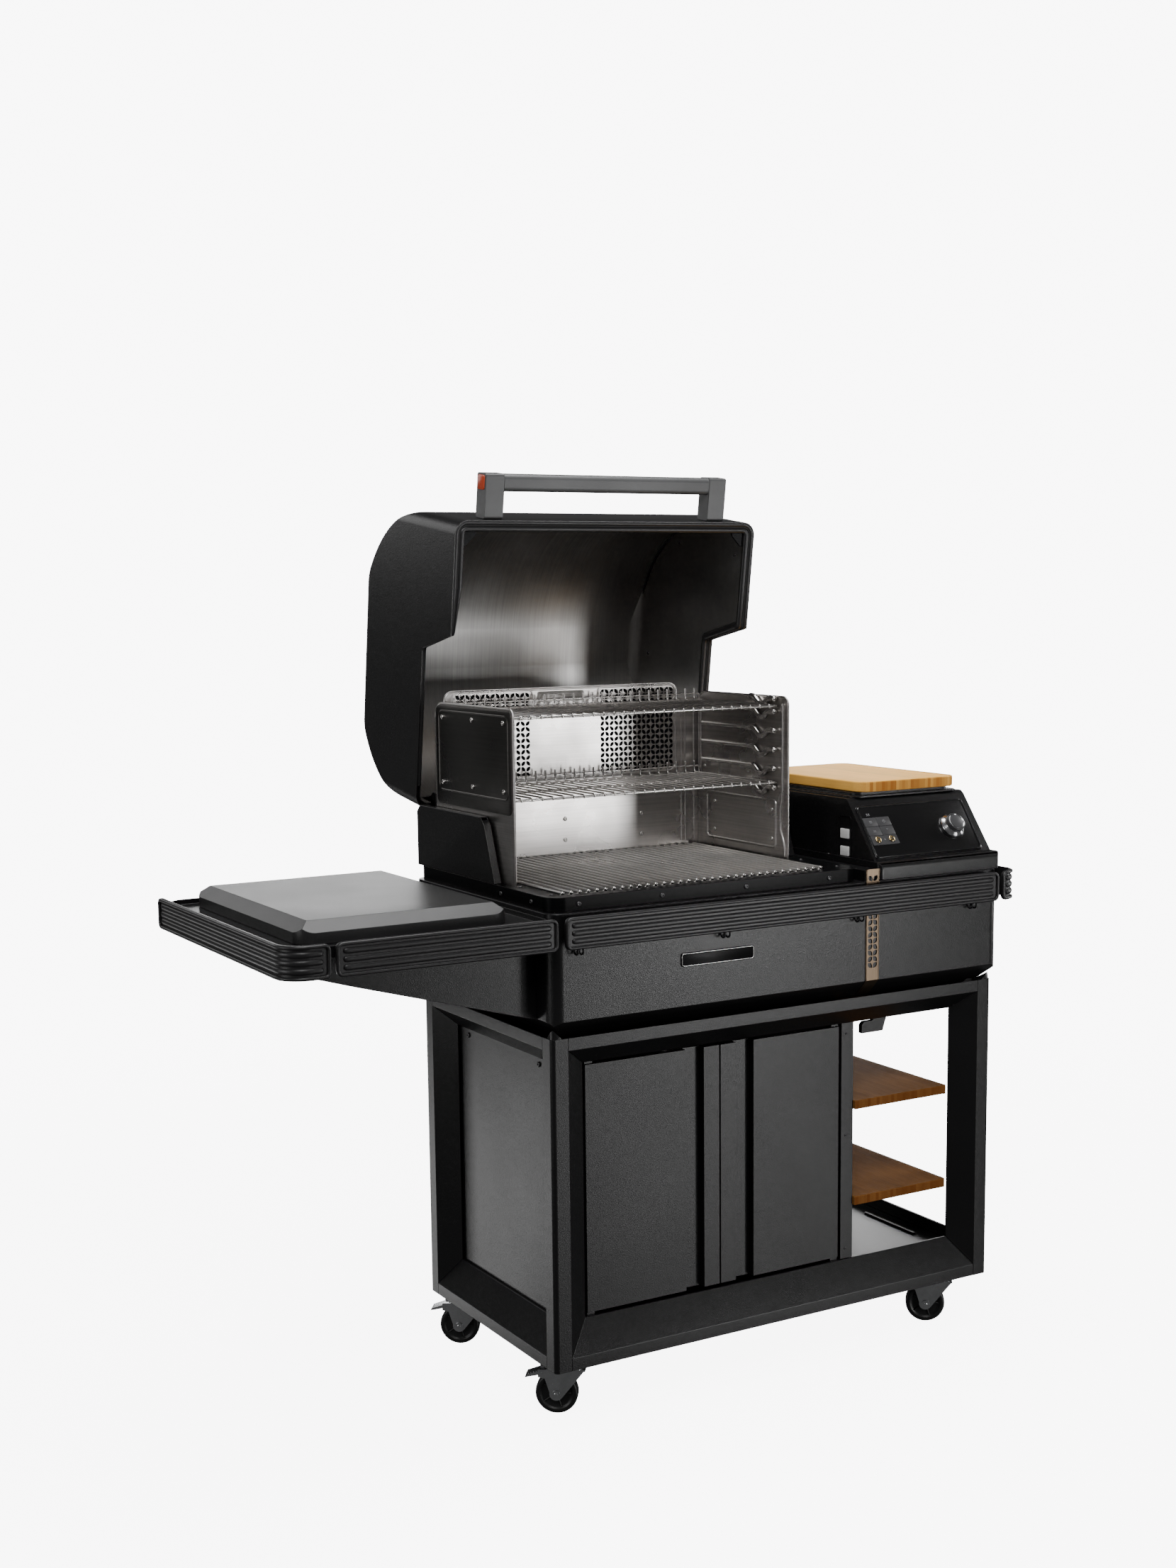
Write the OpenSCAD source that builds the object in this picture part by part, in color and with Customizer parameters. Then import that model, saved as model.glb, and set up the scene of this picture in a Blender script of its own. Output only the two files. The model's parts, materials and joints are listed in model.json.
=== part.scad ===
// Pellet-fed smoker grill on a closed cabinet cart, lid open.
// X runs left to right, Y front to back and Z up. The origin is on the floor, at the centre of the
// model's bounding box. Every module below is drawn from the cart's left front corner on the floor,
// and placed() moves it to that origin.

/* [Cart] */
// Width of the cart over its outer faces
cart_w = 970; // [950:5:980]
// Depth of the cart over its outer faces
cart_d = 492; // [484:2:500]
// Height of the frame's underside above the floor
base_z = 102; // [102:1:104]
// Height of the frame's top, which carries the cooking body
frame_top = 690; // [690:1:691]
// Width of the flat outer face of a corner post
post_face = 32; // [28:1:34]
// Depth that the bevelled frame faces step back
bevel_depth = 31; // [29:1:32]
// Left face of the divider between the cabinet and the open bay
divider_x = 637; // [632:1:642]
// Thickness of a bamboo shelf
shelf_t = 17; // [12:1:18]

/* [Cooking body] */
// Right end of the cooking chamber's rim
rim_right = 654; // [652:1:654]
// Height of the stainless side walls' top
wall_top = 1238; // [1225:1:1240]
// Pitch between two pressed rack ledges
ledge_pitch = 36; // [34:1:37]

/* [Lid] */
// Angle that the lid stands open at rest
lid_open = 82; // [82:1:86]
// Radius of the lid's front curve
lid_front_r = 257; // [255:1:258]
// Radius of the lid's rear curve
lid_rear_r = 219; // [217:1:220]
// Thickness of the lid's outer sheet
lid_t = 2; // [1.5:0.5:3]

/* [Rails and shelf] */
// Height of the accessory rails' lower edge
rail_z = 847.5; // [845:0.5:849]
// Height of an accessory rail
rail_h = 55.5; // [52:0.5:56]
// Left end of the side shelf's rail
shelf_left = -488; // [-492:1:-484]
// Right end of the right corner rail
right_end = 1011; // [1008:1:1014]

/* [Casters] */
// Radius of a caster wheel
wheel_r = 38; // [37:0.5:38]
// Width of a caster wheel's tread
wheel_w = 24; // [20:1:24]
// Distance from a caster's swivel axis to its axle
trail = 30; // [28:1:30]

/* [Hidden] */

$fn = 48;
seam = 0.4;          // visible gap between two frame members
gap = 0.2;           // gap between two fixed pieces that lie against each other
sheet = 2;           // thickness of structural sheet
skin = 1.5;          // thickness of light sheet

// Frame
bevel_run = 45;      // width of a post's bevel
flange = 5;          // width of the inner flange behind a bevel
foot_flange = 70;    // width of the base rails' lower flange, which the casters bolt to
base_lip = 124;      // top of the base rails' upright lip
base_in = 180;       // height of the base rails' inner edge
top_lip = 668;       // bottom of the top rails' upright lip
top_in = 636;        // height of the top rails' inner edge
inner_x = post_face + bevel_run;
floor_top = base_in - 25;
panel_in = bevel_depth + flange + gap;

// Tub, rim and walls
tub_x = [-4, 980];
tub_y = [-10, 515];
tub_foot = 690.2;
tub_bend = 720;
tub_top = 905;       // underside of the rim
rim_top = 930;       // top of the rim
rim_x = [4, rim_right];
rim_y = [4, tub_y[1]];
opening_x = [38, 600];
opening_y = [30, 464];
wall_x = [22, 606];
wall_y = [160, 465.8];
back_wall_top = 1257;
ledge_top = 1217;
grate_top = 935;
rod_r = 3.25;

// Lid, drawn closed and turned open about the hinge
hinge = [525, 1054];
lid_x = [6, 652];
lid_front = -8;
lid_low = 935;
front_centre = [lid_front + lid_front_r, 1069];
lid_peak = front_centre[1] + lid_front_r;
rear_centre = [545 - lid_rear_r, lid_peak - lid_rear_r];
lid_back = rear_centre[0] + lid_rear_r;
hinge_pin_r = 5;
running = 0.05;      // radial clearance of a pin that turns in its bore
handle_x = [71, 588];
handle_y = [-88, -57];
handle_z = [950, 985];

// Rails
rail_front = -39;
rail_t = 8;
rail_corner = 45;
rail_top = rail_z + rail_h;

// Shelf
tray_top = 888;
cover_x = [-430, -52];
cover_y = [40, 535];
cover_top = 925;

// Hopper
hopper_x = [697, 978];
hopper_front = 16;
hopper_foot = 937;
hopper_top = 1046;
hopper_back = 495;
slope_run = 79;
slope_rise = 103;
slope_angle = atan2(slope_rise, slope_run);
knob_at = [908, 57];
jack_u = [723, 755];
jack_v = 42;
hopper_hinge = [490, 1052];
hopper_pin_r = 2.5;
bin_x = [716, 962];
bin_y = [112, 474];

// Feed
auger_at = [240, 775];
auger_x = [392, 931];
pot_at = [330, 240];
pot_r = 55;

// Casters
swivel_x = [67, cart_w - 67];
swivel_y = [56, cart_d - 56];
trail_turn = 143;    // direction in which every caster trails
axle_r = 4;
kingpin_r = 6;
brake_at = [56, 74];

// Floor plan centre of the bounding box. The open lid's back is the furthest point behind.
rear_from_hinge = [rear_centre[0] - hinge[0], rear_centre[1] - hinge[1]];
rear_y = hinge[0] + rear_from_hinge[0] * cos(lid_open) + rear_from_hinge[1] * sin(lid_open) + lid_rear_r;
mid_x = (shelf_left + right_end) / 2;
mid_y = (rail_front + rear_y) / 2;

module placed() {
    translate([-mid_x, -mid_y, 0]) children();
}

// ---- Shared shapes ----

module box(lo, hi) {
    translate(lo) cube([hi[0] - lo[0], hi[1] - lo[1], hi[2] - lo[2]]);
}

// Rectangle between two corners, with round corners
module rrect(lo, hi, r) {
    translate([lo[0] + r, lo[1]]) square([hi[0] - lo[0] - 2 * r, hi[1] - lo[1]]);
    translate([lo[0], lo[1] + r]) square([hi[0] - lo[0], hi[1] - lo[1] - 2 * r]);
    for (x = [lo[0] + r, hi[0] - r], y = [lo[1] + r, hi[1] - r]) {
        translate([x, y]) circle(r);
    }
}

// A drawing in Y and Z, drawn out from x0 to x1
module along_x(x0, x1) {
    translate([x0, 0, 0]) rotate([90, 0, 90]) linear_extrude(x1 - x0) children();
}

// A drawing in X and Z, drawn out from y0 to y1
module along_y(y0, y1) {
    translate([0, y1, 0]) rotate([90, 0, 0]) linear_extrude(y1 - y0) children();
}

// A drawing in X and Y, drawn out from z0 to z1
module along_z(z0, z1) {
    translate([0, 0, z0]) linear_extrude(z1 - z0) children();
}

module rod_x(x0, x1, y, z, r) {
    translate([x0, y, z]) rotate([0, 90, 0]) cylinder(h = x1 - x0, r = r);
}

module rod_y(y0, y1, x, z, r) {
    translate([x, y0, z]) rotate([-90, 0, 0]) cylinder(h = y1 - y0, r = r);
}

module four_corners() {
    children();
    translate([cart_w, 0, 0]) mirror([1, 0, 0]) children();
    translate([0, cart_d, 0]) mirror([0, 1, 0]) children();
    translate([cart_w, cart_d, 0]) rotate(180) children();
}

// ---- Cart ----

function base_section() = [[0, base_z], [0, base_lip], [bevel_depth, base_in],
    [bevel_depth + flange, base_in], [bevel_depth + flange, floor_top],
    [bevel_depth + flange - sheet, floor_top], [bevel_depth + flange - sheet, base_in - sheet],
    [bevel_depth + 1, base_in - sheet], [sheet, base_lip - 1.4], [sheet, base_z + sheet],
    [foot_flange, base_z + sheet], [foot_flange, base_z]];

function top_section() = [[0, frame_top], [0, top_lip], [bevel_depth, top_in],
    [bevel_depth + flange, top_in], [bevel_depth + flange, top_in + 14],
    [bevel_depth + flange - sheet, top_in + 14], [bevel_depth + flange - sheet, top_in + sheet],
    [bevel_depth + 1, top_in + sheet], [sheet, top_lip + 1.4], [sheet, frame_top]];

// Mitred outline of a base rail, seen square on, on a face of the given length
function base_outline(length) = [[post_face + seam, base_z], [post_face + seam, base_lip],
    [inner_x + seam, base_in], [length - inner_x - seam, base_in],
    [length - post_face - seam, base_lip], [length - post_face - seam, base_z]];

function top_outline(length) = [[post_face + seam, frame_top], [post_face + seam, top_lip],
    [inner_x + seam, top_in], [length - inner_x - seam, top_in],
    [length - post_face - seam, top_lip], [length - post_face - seam, frame_top]];

// Plan of one rail, with its ends cut at 45 degrees behind the posts
function rail_plan(length) = [[post_face + seam, 0], [post_face + seam, post_face],
    [cart_d / 2, cart_d / 2 - seam], [length - cart_d / 2, cart_d / 2 - seam],
    [length - post_face - seam, post_face], [length - post_face - seam, 0]];

module one_rail(length, profile, outline) {
    intersection() {
        along_x(0, length) polygon(profile);
        along_y(0, cart_d / 2) polygon(outline);
        along_z(base_z - 1, frame_top + 1) polygon(rail_plan(length));
    }
}

module rail_ring(profile, front_outline, side_outline) {
    for (turn = [0, 1]) {
        translate([turn * cart_w, turn * cart_d, 0]) rotate(180 * turn) {
            one_rail(cart_w, profile, front_outline);
            translate([0, cart_d, 0]) rotate(-90) one_rail(cart_d, profile, side_outline);
        }
    }
}

module base_rails() {
    color("#17181a") placed() rail_ring(base_section(), base_outline(cart_w), base_outline(cart_d));
}

module top_rails() {
    color("#17181a") placed() rail_ring(top_section(), top_outline(cart_w), top_outline(cart_d));
}

function post_outline() = [[post_face, base_z], [post_face, base_lip], [inner_x, base_in],
    [inner_x, top_in], [post_face, top_lip], [post_face, frame_top], [0, frame_top], [0, base_z]];

// Folded post: round outer corner, two flat faces and two bevelled wings
module post() {
    r = 8;
    back = bevel_depth + sheet;
    intersection() {
        along_z(base_z, frame_top) difference() {
            union() {
                polygon([[0, r], [r, 0], [post_face, 0], [inner_x, bevel_depth], [inner_x, back],
                    [inner_x - 2, back], [post_face, sheet], [sheet, post_face], [back, inner_x - 2],
                    [back, inner_x], [bevel_depth, inner_x], [0, post_face]]);
                translate([r, r]) circle(r);
            }
            translate([sheet, sheet]) square([post_face - sheet - 1, post_face - sheet - 1]);
        }
        along_y(0, inner_x) polygon(post_outline());
        along_x(0, inner_x) polygon(post_outline());
    }
}

module corner_posts() {
    color("#17181a") placed() four_corners() post();
}

module base_floor() {
    edge = bevel_depth + flange - sheet + seam;
    color("#8c8c8c") placed()
        box([edge, edge, floor_top - sheet], [cart_w - edge, cart_d - edge, floor_top]);
}

module cabinet_panels() {
    top = frame_top - 30;
    foot = floor_top + gap;
    back_y = cart_d - panel_in;
    color("#141517") placed() {
        box([panel_in, 60, foot], [panel_in + skin, cart_d - 60, top]);
        box([panel_in + 3, back_y - skin, foot], [divider_x + 24, back_y, top]);
        difference() {
            box([divider_x, 34, base_in + 0.5], [divider_x + 28, back_y - skin - 1, top_in - 0.5]);
            box([divider_x + skin, 34 + skin, base_in + 2.5], [divider_x + 28 - skin, cart_d, top_in - 2.5]);
        }
        box([divider_x + 4, panel_in, foot], [divider_x + 24, back_y - skin - 1, base_in]);
    }
}

bay_x = [divider_x + 28.4, cart_w - inner_x - 7];
shelf_tops = [485, 299];

module bamboo_shelves() {
    color("#b98a55") placed() for (z = shelf_tops) {
        box([bay_x[0], 28, z - shelf_t], [bay_x[1], 452, z]);
    }
}

// Hinge sockets of the doors, shelf rests, caster plates and the small bay fittings
door_pivot_y = 44;
door_edge_x = [84, divider_x - 6];
door_pivot_x = [door_edge_x[0] + 8, door_edge_x[1] - 8];
door_z = [186, 630];
door_pin_r = 3;

module pivot_block(x, z0, z1) {
    difference() {
        box([x - 8, door_pivot_y - 7.5, z0], [x + 8, door_pivot_y + 9, z1]);
        translate([x, door_pivot_y, z0 - 1]) cylinder(h = z1 - z0 + 2, r = door_pin_r + running);
    }
}

module caster_plate() {
    difference() {
        union() {
            along_z(base_z - 4, base_z - gap) rrect([-24, -24], [40, 36], 6);
            translate([0, 0, base_z - 8]) cylinder(h = 5, r = 20);
        }
        translate([0, 0, base_z - 20]) cylinder(h = 40, r = kingpin_r + running);
    }
}

module cart_fittings() {
    color("#1c1d1f") placed() {
        for (x = door_pivot_x) {
            pivot_block(x, door_z[1] + 1, door_z[1] + 16);
            pivot_block(x, floor_top + gap, door_z[0] - 1);
        }
        for (x = swivel_x, y = swivel_y) {
            translate([x, y, 0]) caster_plate();
        }
        for (z = shelf_tops) {
            box([bay_x[1] + gap, panel_in, z - shelf_t - 3], [bay_x[1] + 6, cart_d - panel_in, z - 2]);
            box([bay_x[0] - gap, panel_in + 10, z - shelf_t - 3], [bay_x[0] + 14, 430, z - shelf_t - gap]);
        }
        along_y(56, 66) polygon([[702, 604], [752, 604], [762, 634], [762, tub_foot - gap],
            [728, tub_foot - gap], [728, 626], [708, 626], [702, 620]]);
        box([894, 130, floor_top + gap], [900, 285, floor_top + 4]);
    }
}

// ---- Cooking body ----

// Box with round upright corners and a chamfered foot
module tub_form(inset, z0, z1) {
    lo = [tub_x[0] + inset, tub_y[0] + inset];
    hi = [tub_x[1] - inset, tub_y[1] - inset];
    cut = 30;
    foot = tub_foot + inset;
    intersection() {
        along_z(z0, z1) rrect(lo, hi, 24 - inset);
        along_x(lo[0], hi[0]) polygon([[lo[1] + cut, foot], [lo[1], foot + cut], [lo[1], z1],
            [hi[1], z1], [hi[1], foot + cut], [hi[1] - cut, foot]]);
        along_y(lo[1], hi[1]) polygon([[lo[0] + cut, foot], [lo[0], foot + cut], [lo[0], z1],
            [hi[0], z1], [hi[0], foot + cut], [hi[0] - cut, foot]]);
    }
}

module tub_shell() {
    color("#1a1b1d") placed() {
        difference() {
            tub_form(0, tub_foot, tub_top);
            difference() {
                tub_form(sheet, tub_foot, tub_top - sheet);
                box([668, -20, 0], [671, 600, tub_top]);
            }
            along_z(tub_top - 10, tub_top + 10) rrect([24, 24], [636, 492], 20);
            along_z(tub_top - 10, tub_top + 10) rrect([720, 60], [955, 480], 20);
            rod_x(600, 700, auger_at[0], auger_at[1], 26.3);
        }
        difference() {
            box([657, -7, tub_top - 1], [688, 512, 926]);
            box([659, -5, tub_top - 2], [686, 510, 924]);
        }
    }
}

module tub_rim() {
    lip = 16;
    color("#0b0b0c") placed() {
        difference() {
            along_z(tub_top + gap, rim_top) rrect([rim_x[0], rim_y[0]], [rim_x[1], rim_y[1]], 30);
            along_z(tub_top, rim_top - sheet)
                rrect([rim_x[0] + sheet, rim_y[0] + sheet], [rim_x[1] - sheet, rim_y[1] - sheet], 27);
            along_z(rim_top - 10, rim_top + 1)
                rrect([opening_x[0], opening_y[0]], [opening_x[1], opening_y[1]], 12);
        }
        // Drop flange and ledge that the grates rest on
        difference() {
            along_z(917, rim_top - 1) rrect([opening_x[0] - sheet, opening_y[0] - sheet],
                [opening_x[1] + sheet, opening_y[1] + sheet], 15);
            along_z(920.5, rim_top + 1)
                rrect([opening_x[0], opening_y[0]], [opening_x[1], opening_y[1]], 12);
            along_z(910, rim_top)
                rrect([opening_x[0] + lip, opening_y[0] + lip], [opening_x[1] - lip, opening_y[1] - lip], 4);
        }
    }
}

// Collar behind and beside the chamber, up to the lid's stepped edge
cheek_x = [[rim_x[0], wall_x[0] - 4], [wall_x[1] + 6, rim_x[1]]];
collar_top = 1044;

function cheek_side() = [[204, rim_top + gap], [241, collar_top - 14], [255, collar_top],
    [503, collar_top], [rim_y[1], collar_top - 12], [rim_y[1], rim_top + gap]];

module rear_collar() {
    wall = 503;
    color("#131415") placed() difference() {
        union() {
            for (x = cheek_x) {
                along_x(x[0], x[1]) polygon(cheek_side());
            }
            box([cheek_x[0][0], wall, rim_top + gap], [cheek_x[1][1], rim_y[1], 1024]);
        }
        // Hollow from below
        for (x = cheek_x) {
            box([x[0] + sheet, 250, rim_top], [x[1] - sheet, wall, collar_top - sheet]);
        }
        box([cheek_x[0][1], wall + sheet, rim_top], [cheek_x[1][0], rim_y[1] - sheet, 1022]);
    }
}

module ledges(x, side) {
    for (level = [0:4]) {
        translate([x, 0, ledge_top - level * ledge_pitch]) mirror([side, 0, 0])
            along_y(182, 446) polygon([[-1, -14], [0, -14], [7, -5], [7, 0], [-1, 0]]);
    }
}

// Outline of a side wall in Y and Z
module wall_outline() {
    r = 26;
    translate([wall_y[0], rim_top + gap])
        square([wall_y[1] - wall_y[0], wall_top - rim_top - gap - r]);
    translate([wall_y[0] + 14, wall_top - r - 1]) square([wall_y[1] - wall_y[0] - r - 14, r + 1]);
    translate([wall_y[0] + 14, wall_top - 14]) circle(14);
    translate([wall_y[0], wall_top - r - 1]) square([20, r - 13]);
    translate([wall_y[1] - r, wall_top - r]) circle(r);
}

module side_walls() {
    pocket = [[wall_y[0] + 22, 1072], [wall_y[1] - 24, wall_top - 14]];
    lower = [[wall_y[0] + 40, 948], [wall_y[1] - 30, 1040]];
    color("#a8a6a2") placed() {
        difference() {
            union() {
                along_x(wall_x[0], wall_x[0] + skin) wall_outline();
                ledges(wall_x[0] + skin, 0);
            }
            along_x(wall_x[0] - 1, wall_x[0] + 0.8) rrect(pocket[0], pocket[1], 10);
        }
        difference() {
            union() {
                along_x(wall_x[1], wall_x[1] + skin) wall_outline();
                ledges(wall_x[1], 1);
            }
            along_x(wall_x[1] - 1, wall_x[1] + 0.8) rrect(lower[0], lower[1], 8);
        }
    }
}

// Back wall with two raised upper panels; the leaf perforations are cut as one window each
module back_wall() {
    y = wall_y[1] + gap;
    color("#b4b2ae") placed() along_y(y, y + skin) {
        translate([wall_x[0] + 0.5, rim_top + gap])
            square([wall_x[1] - wall_x[0] - 1, 1226 - rim_top]);
        rrect([40, 1100], [556, back_wall_top], 16);
    }
}

screw_r = 4;

module frame_screws() {
    head = 1.6;
    color("#c9c7c2") placed() {
        for (x = [60, 225, 400, 580]) {
            translate([x, rim_y[0] - 2, 917]) rotate([-90, 0, 0]) cylinder(h = 1.9, r = screw_r);
        }
        for (y = [200, 308, 416], z = [1105, 1212]) {
            rod_x(wall_x[0] - 1, wall_x[0] + 0.6, y, z, screw_r);
        }
        for (y = [215, 405], z = [958, 1030]) {
            rod_x(wall_x[1] - head, wall_x[1] + 0.7, y, z, screw_r);
        }
        for (x = [297, 471], z = [959, 1001]) {
            rod_y(wall_y[1] - head, wall_y[1] + 0.1, x, z, screw_r);
        }
        for (y = [110, 380]) {
            rod_x(panel_in - head, panel_in - 0.1, y, 622, 5);
        }
    }
}

module grate(x0, count, pitch) {
    x1 = x0 + (count - 1) * pitch;
    for (i = [0:count - 1]) {
        rod_y(34, 460, x0 + i * pitch, grate_top - rod_r, rod_r);
    }
    for (y = [39, 246, 454]) {
        box([x0 - 2, y - 4, 921], [x1 + 2, y + 4, grate_top - 2 * rod_r + 0.8]);
    }
}

module cooking_grates() {
    color("#6d6b68") placed() {
        grate(45, 17, 17);
        grate(333, 16, 17);
    }
}

strip_x = [656.5, 686.5];

module vent_strip() {
    front = tub_y[0] - gap;
    color("#6b5436") placed() {
        along_x(strip_x[0], strip_x[1]) polygon([[front, tub_bend + 0.2], [front, 928], [front - 2, 928],
            [front - 2, tub_bend], [front + 26, tub_foot + 0.5], [front + 29, tub_foot + 0.5]]);
    }
}

module name_plate() {
    front = tub_y[0] - gap;
    color("#7d7f82") placed() {
        along_y(front - 1.2, front) rrect([253, 790], [407, 814.5], 5);
        along_y(front - 2.4, front - 1.2) difference() {
            rrect([253, 790], [407, 814.5], 5);
            rrect([255.5, 792.5], [404.5, 812], 3);
        }
    }
}

// ---- Accessory rails ----

rib_z = [rail_z + 15, rail_z + rail_h / 2, rail_top - 15];
rib_r = 4;

module rail_front_view(x0, x1) {
    rrect([x0, rail_z], [x1, rail_top], 12);
}

module straight_rail(x0, x1) {
    border = 6.5;
    along_y(rail_front + 4.5, rail_front + rail_t) rail_front_view(x0, x1);
    along_y(rail_front, rail_front + 5) difference() {
        rail_front_view(x0, x1);
        rrect([x0 + border, rail_z + border], [x1 - border, rail_top - border], 6);
    }
    for (z = rib_z) {
        rod_x(x0 + 16, x1 - 16, rail_front + 5, z, rib_r);
        for (x = [x0 + 16, x1 - 16]) {
            translate([x, rail_front + 5, z]) sphere(rib_r);
        }
    }
}

// Plan of the strip between two depths of a rail that turns the corner at x = 0
module corner_plan(d0, d1, front_len, side_len) {
    r = rail_corner;
    translate([r, d0]) square([front_len - r, d1 - d0]);
    translate([d0, r]) square([d1 - d0, side_len - r]);
    translate([r, r]) intersection() {
        difference() {
            circle(r - d0);
            circle(r - d1);
        }
        translate([-r, -r]) square([r, r]);
    }
}

// Corner rail, drawn with its outer corner at the origin, running along +X and +Y
module corner_rail(front_len, side_len) {
    border = 6.5;
    r = rail_corner;
    along_z(rail_z, rail_top) corner_plan(4.5, rail_t, front_len, side_len);
    for (z = [rail_z, rail_top - border]) {
        along_z(z, z + border) corner_plan(0, 5, front_len, side_len);
    }
    box([max(front_len - border, r), 0, rail_z], [front_len, 5, rail_top]);
    box([0, side_len - border, rail_z], [5, side_len, rail_top]);
    for (z = rib_z) {
        if (front_len > r + 20) {
            rod_x(r, front_len - 16, 5, z, rib_r);
            translate([front_len - 16, 5, z]) sphere(rib_r);
        }
        rod_y(r, side_len - 14, 5, z, rib_r);
        translate([5, side_len - 14, z]) sphere(rib_r);
        translate([r, r, z]) rotate(180) rotate_extrude(angle = 90)
            translate([r - 5, 0]) circle(rib_r);
    }
}

module hook(x) {
    y0 = rail_front + rail_t;
    box([x - 9, y0 - 1, rail_z + 12], [x + 9, tub_y[0] - gap, rail_z + 30]);
    along_x(x - 4, x + 4) difference() {
        translate([-20, rail_z - 4]) circle(9);
        translate([-20, rail_z - 4]) circle(5);
    }
    box([x - 4, y0 + 6, rail_z + 3], [x + 4, y0 + 14, rail_z + 14]);
}

module front_rail() {
    color("#1d1e20") placed() {
        straight_rail(10, 954);
        for (x = [44, 340, 635, 903]) {
            hook(x);
        }
    }
}

module side_rails() {
    y_in = rail_front + rail_t - 1;
    color("#1d1e20") placed() {
        straight_rail(-400, -4);
        for (x = [-340, -60]) {
            box([x - 8, y_in, rail_z + 28], [x + 8, -26.2, rail_z + 44]);
        }
        translate([shelf_left, rail_front, 0]) corner_rail(-408 - shelf_left, 608);
        for (y = [90, 300, 500]) {
            box([shelf_left + rail_t - 1, y - 8, rail_z + 28], [-476.2, y + 8, rail_z + 44]);
        }
        translate([right_end, rail_front, 0]) mirror([1, 0, 0]) corner_rail(right_end - 962, 440);
        for (y = [60, 360]) {
            box([tub_x[1] + gap, y - 8, rail_z + 20], [right_end - rail_t + 1, y + 8, rail_z + 38]);
        }
    }
}

// ---- Side shelf and hob ----

module side_shelf() {
    x = [-476, tub_x[0] - gap];
    y = [-26, 561];
    gusset = [[x[1], 718], [x[1], tray_top - 10], [-450, tray_top - 10], [-450, 846], [-340, 813]];
    inner = [[x[1] - sheet, 722], [x[1] - sheet, tray_top - 12], [-448, tray_top - 12],
        [-448, 847.5], [-339.5, 815.5]];
    color("#161719") placed() {
        along_z(tray_top - sheet, tray_top) rrect(x_y(x, y, 0)[0], x_y(x, y, 0)[1], 34);
        // Turned-up edge and turned-down skirt
        along_z(tray_top - 10, tray_top + 9) difference() {
            rrect(x_y(x, y, 0)[0], x_y(x, y, 0)[1], 34);
            rrect(x_y(x, y, sheet)[0], x_y(x, y, sheet)[1], 31);
        }
        difference() {
            along_y(44, 450) polygon(gusset);
            along_y(46, 448) polygon(inner);
        }
    }
}

function x_y(x, y, inset) = [[x[0] + inset, y[0] + inset], [x[1] - inset, y[1] - inset]];

module hob_glass() {
    color("#0a0a0c") placed() along_z(tray_top + gap, tray_top + 6)
        rrect(x_y(cover_x, cover_y, 16)[0], x_y(cover_x, cover_y, 16)[1], 10);
}

module cover_form(inset) {
    chamfer = 18;
    foot = tray_top + 0.3;
    top = cover_top - inset;
    x = x_y(cover_x, cover_y, inset);
    intersection() {
        along_z(foot - (inset > 0 ? 1 : 0), top) rrect(x[0], x[1], 30 - inset);
        along_x(x[0][0], x[1][0]) polygon([[x[0][1], foot - 2], [x[0][1], top - chamfer],
            [x[0][1] + chamfer + 4, top], [x[1][1] - chamfer - 4, top], [x[1][1], top - chamfer],
            [x[1][1], foot - 2]]);
        along_y(x[0][1], x[1][1]) polygon([[x[0][0], foot - 2], [x[0][0], top - chamfer],
            [x[0][0] + chamfer + 4, top], [x[1][0] - chamfer - 4, top], [x[1][0], top - chamfer],
            [x[1][0], foot - 2]]);
    }
}

module hob_cover() {
    color("#26272a") placed() difference() {
        cover_form(0);
        cover_form(skin);
    }
}

// ---- Lid ----

module opened() {
    translate([0, hinge[0], hinge[1]]) rotate([-lid_open, 0, 0])
        translate([0, -hinge[0], -hinge[1]]) children();
}

// Closed section of the lid in Y and Z, moved in by inset
module lid_section(inset, low) {
    fc = front_centre;
    rc = rear_centre;
    intersection() {
        translate(fc) circle(lid_front_r - inset, $fn = 96);
        translate([fc[0] - lid_front_r, fc[1]]) square([lid_front_r, lid_front_r]);
    }
    intersection() {
        translate(rc) circle(lid_rear_r - inset, $fn = 96);
        translate(rc) square([lid_rear_r, lid_rear_r]);
    }
    translate([fc[0] - 1, fc[1] - 1]) square([rc[0] - fc[0] + 2, lid_peak - inset - fc[1] + 1]);
    translate([lid_front + inset, low]) square([fc[0] - lid_front - inset, fc[1] - low + 1]);
    translate([fc[0] - 1, low]) square([lid_back - inset - fc[0] + 1, rc[1] - low + 1]);
}

module lid_form(inset, low) {
    intersection() {
        along_x(lid_x[0] + inset, lid_x[1] - inset) lid_section(inset, low);
        along_y(-50, 600) rrect([lid_x[0] + inset, low - 80], [lid_x[1] - inset, lid_peak - inset], 34 - inset);
        along_z(low - 1, lid_peak + 1)
            rrect([lid_x[0] + inset, lid_front + inset], [lid_x[1] - inset, lid_back - inset], 26 - inset);
    }
}

// Space below the lid's stepped lower edge
module lid_step(lift) {
    along_x(-20, 700) polygon([[198 - lift, 880], [198 - lift, lid_low], [238 - lift, collar_top + 6 + lift],
        [600, collar_top + 6 + lift], [600, 880]]);
}

module hinge_ear(x) {
    difference() {
        along_x(x, x + 6) union() {
            translate(hinge) circle(9);
            polygon([[hinge[0] - 7, hinge[1] + 4], [lid_back - 13, 1090], [lid_back - 1, 1090],
                [lid_back - 1, 1066], [hinge[0] + 8, hinge[1] + 3]]);
        }
        rod_x(x - 1, x + 8, hinge[0], hinge[1], hinge_pin_r + running);
    }
}

ear_x = [52, 600];

module lid_shell() {
    color("#1b1c1e") placed() opened() {
        difference() {
            lid_form(0, lid_low);
            lid_form(lid_t, lid_low - 20);
            lid_step(0);
        }
        for (x = ear_x) {
            hinge_ear(x);
        }
    }
}

liner_inset = 9;

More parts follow.
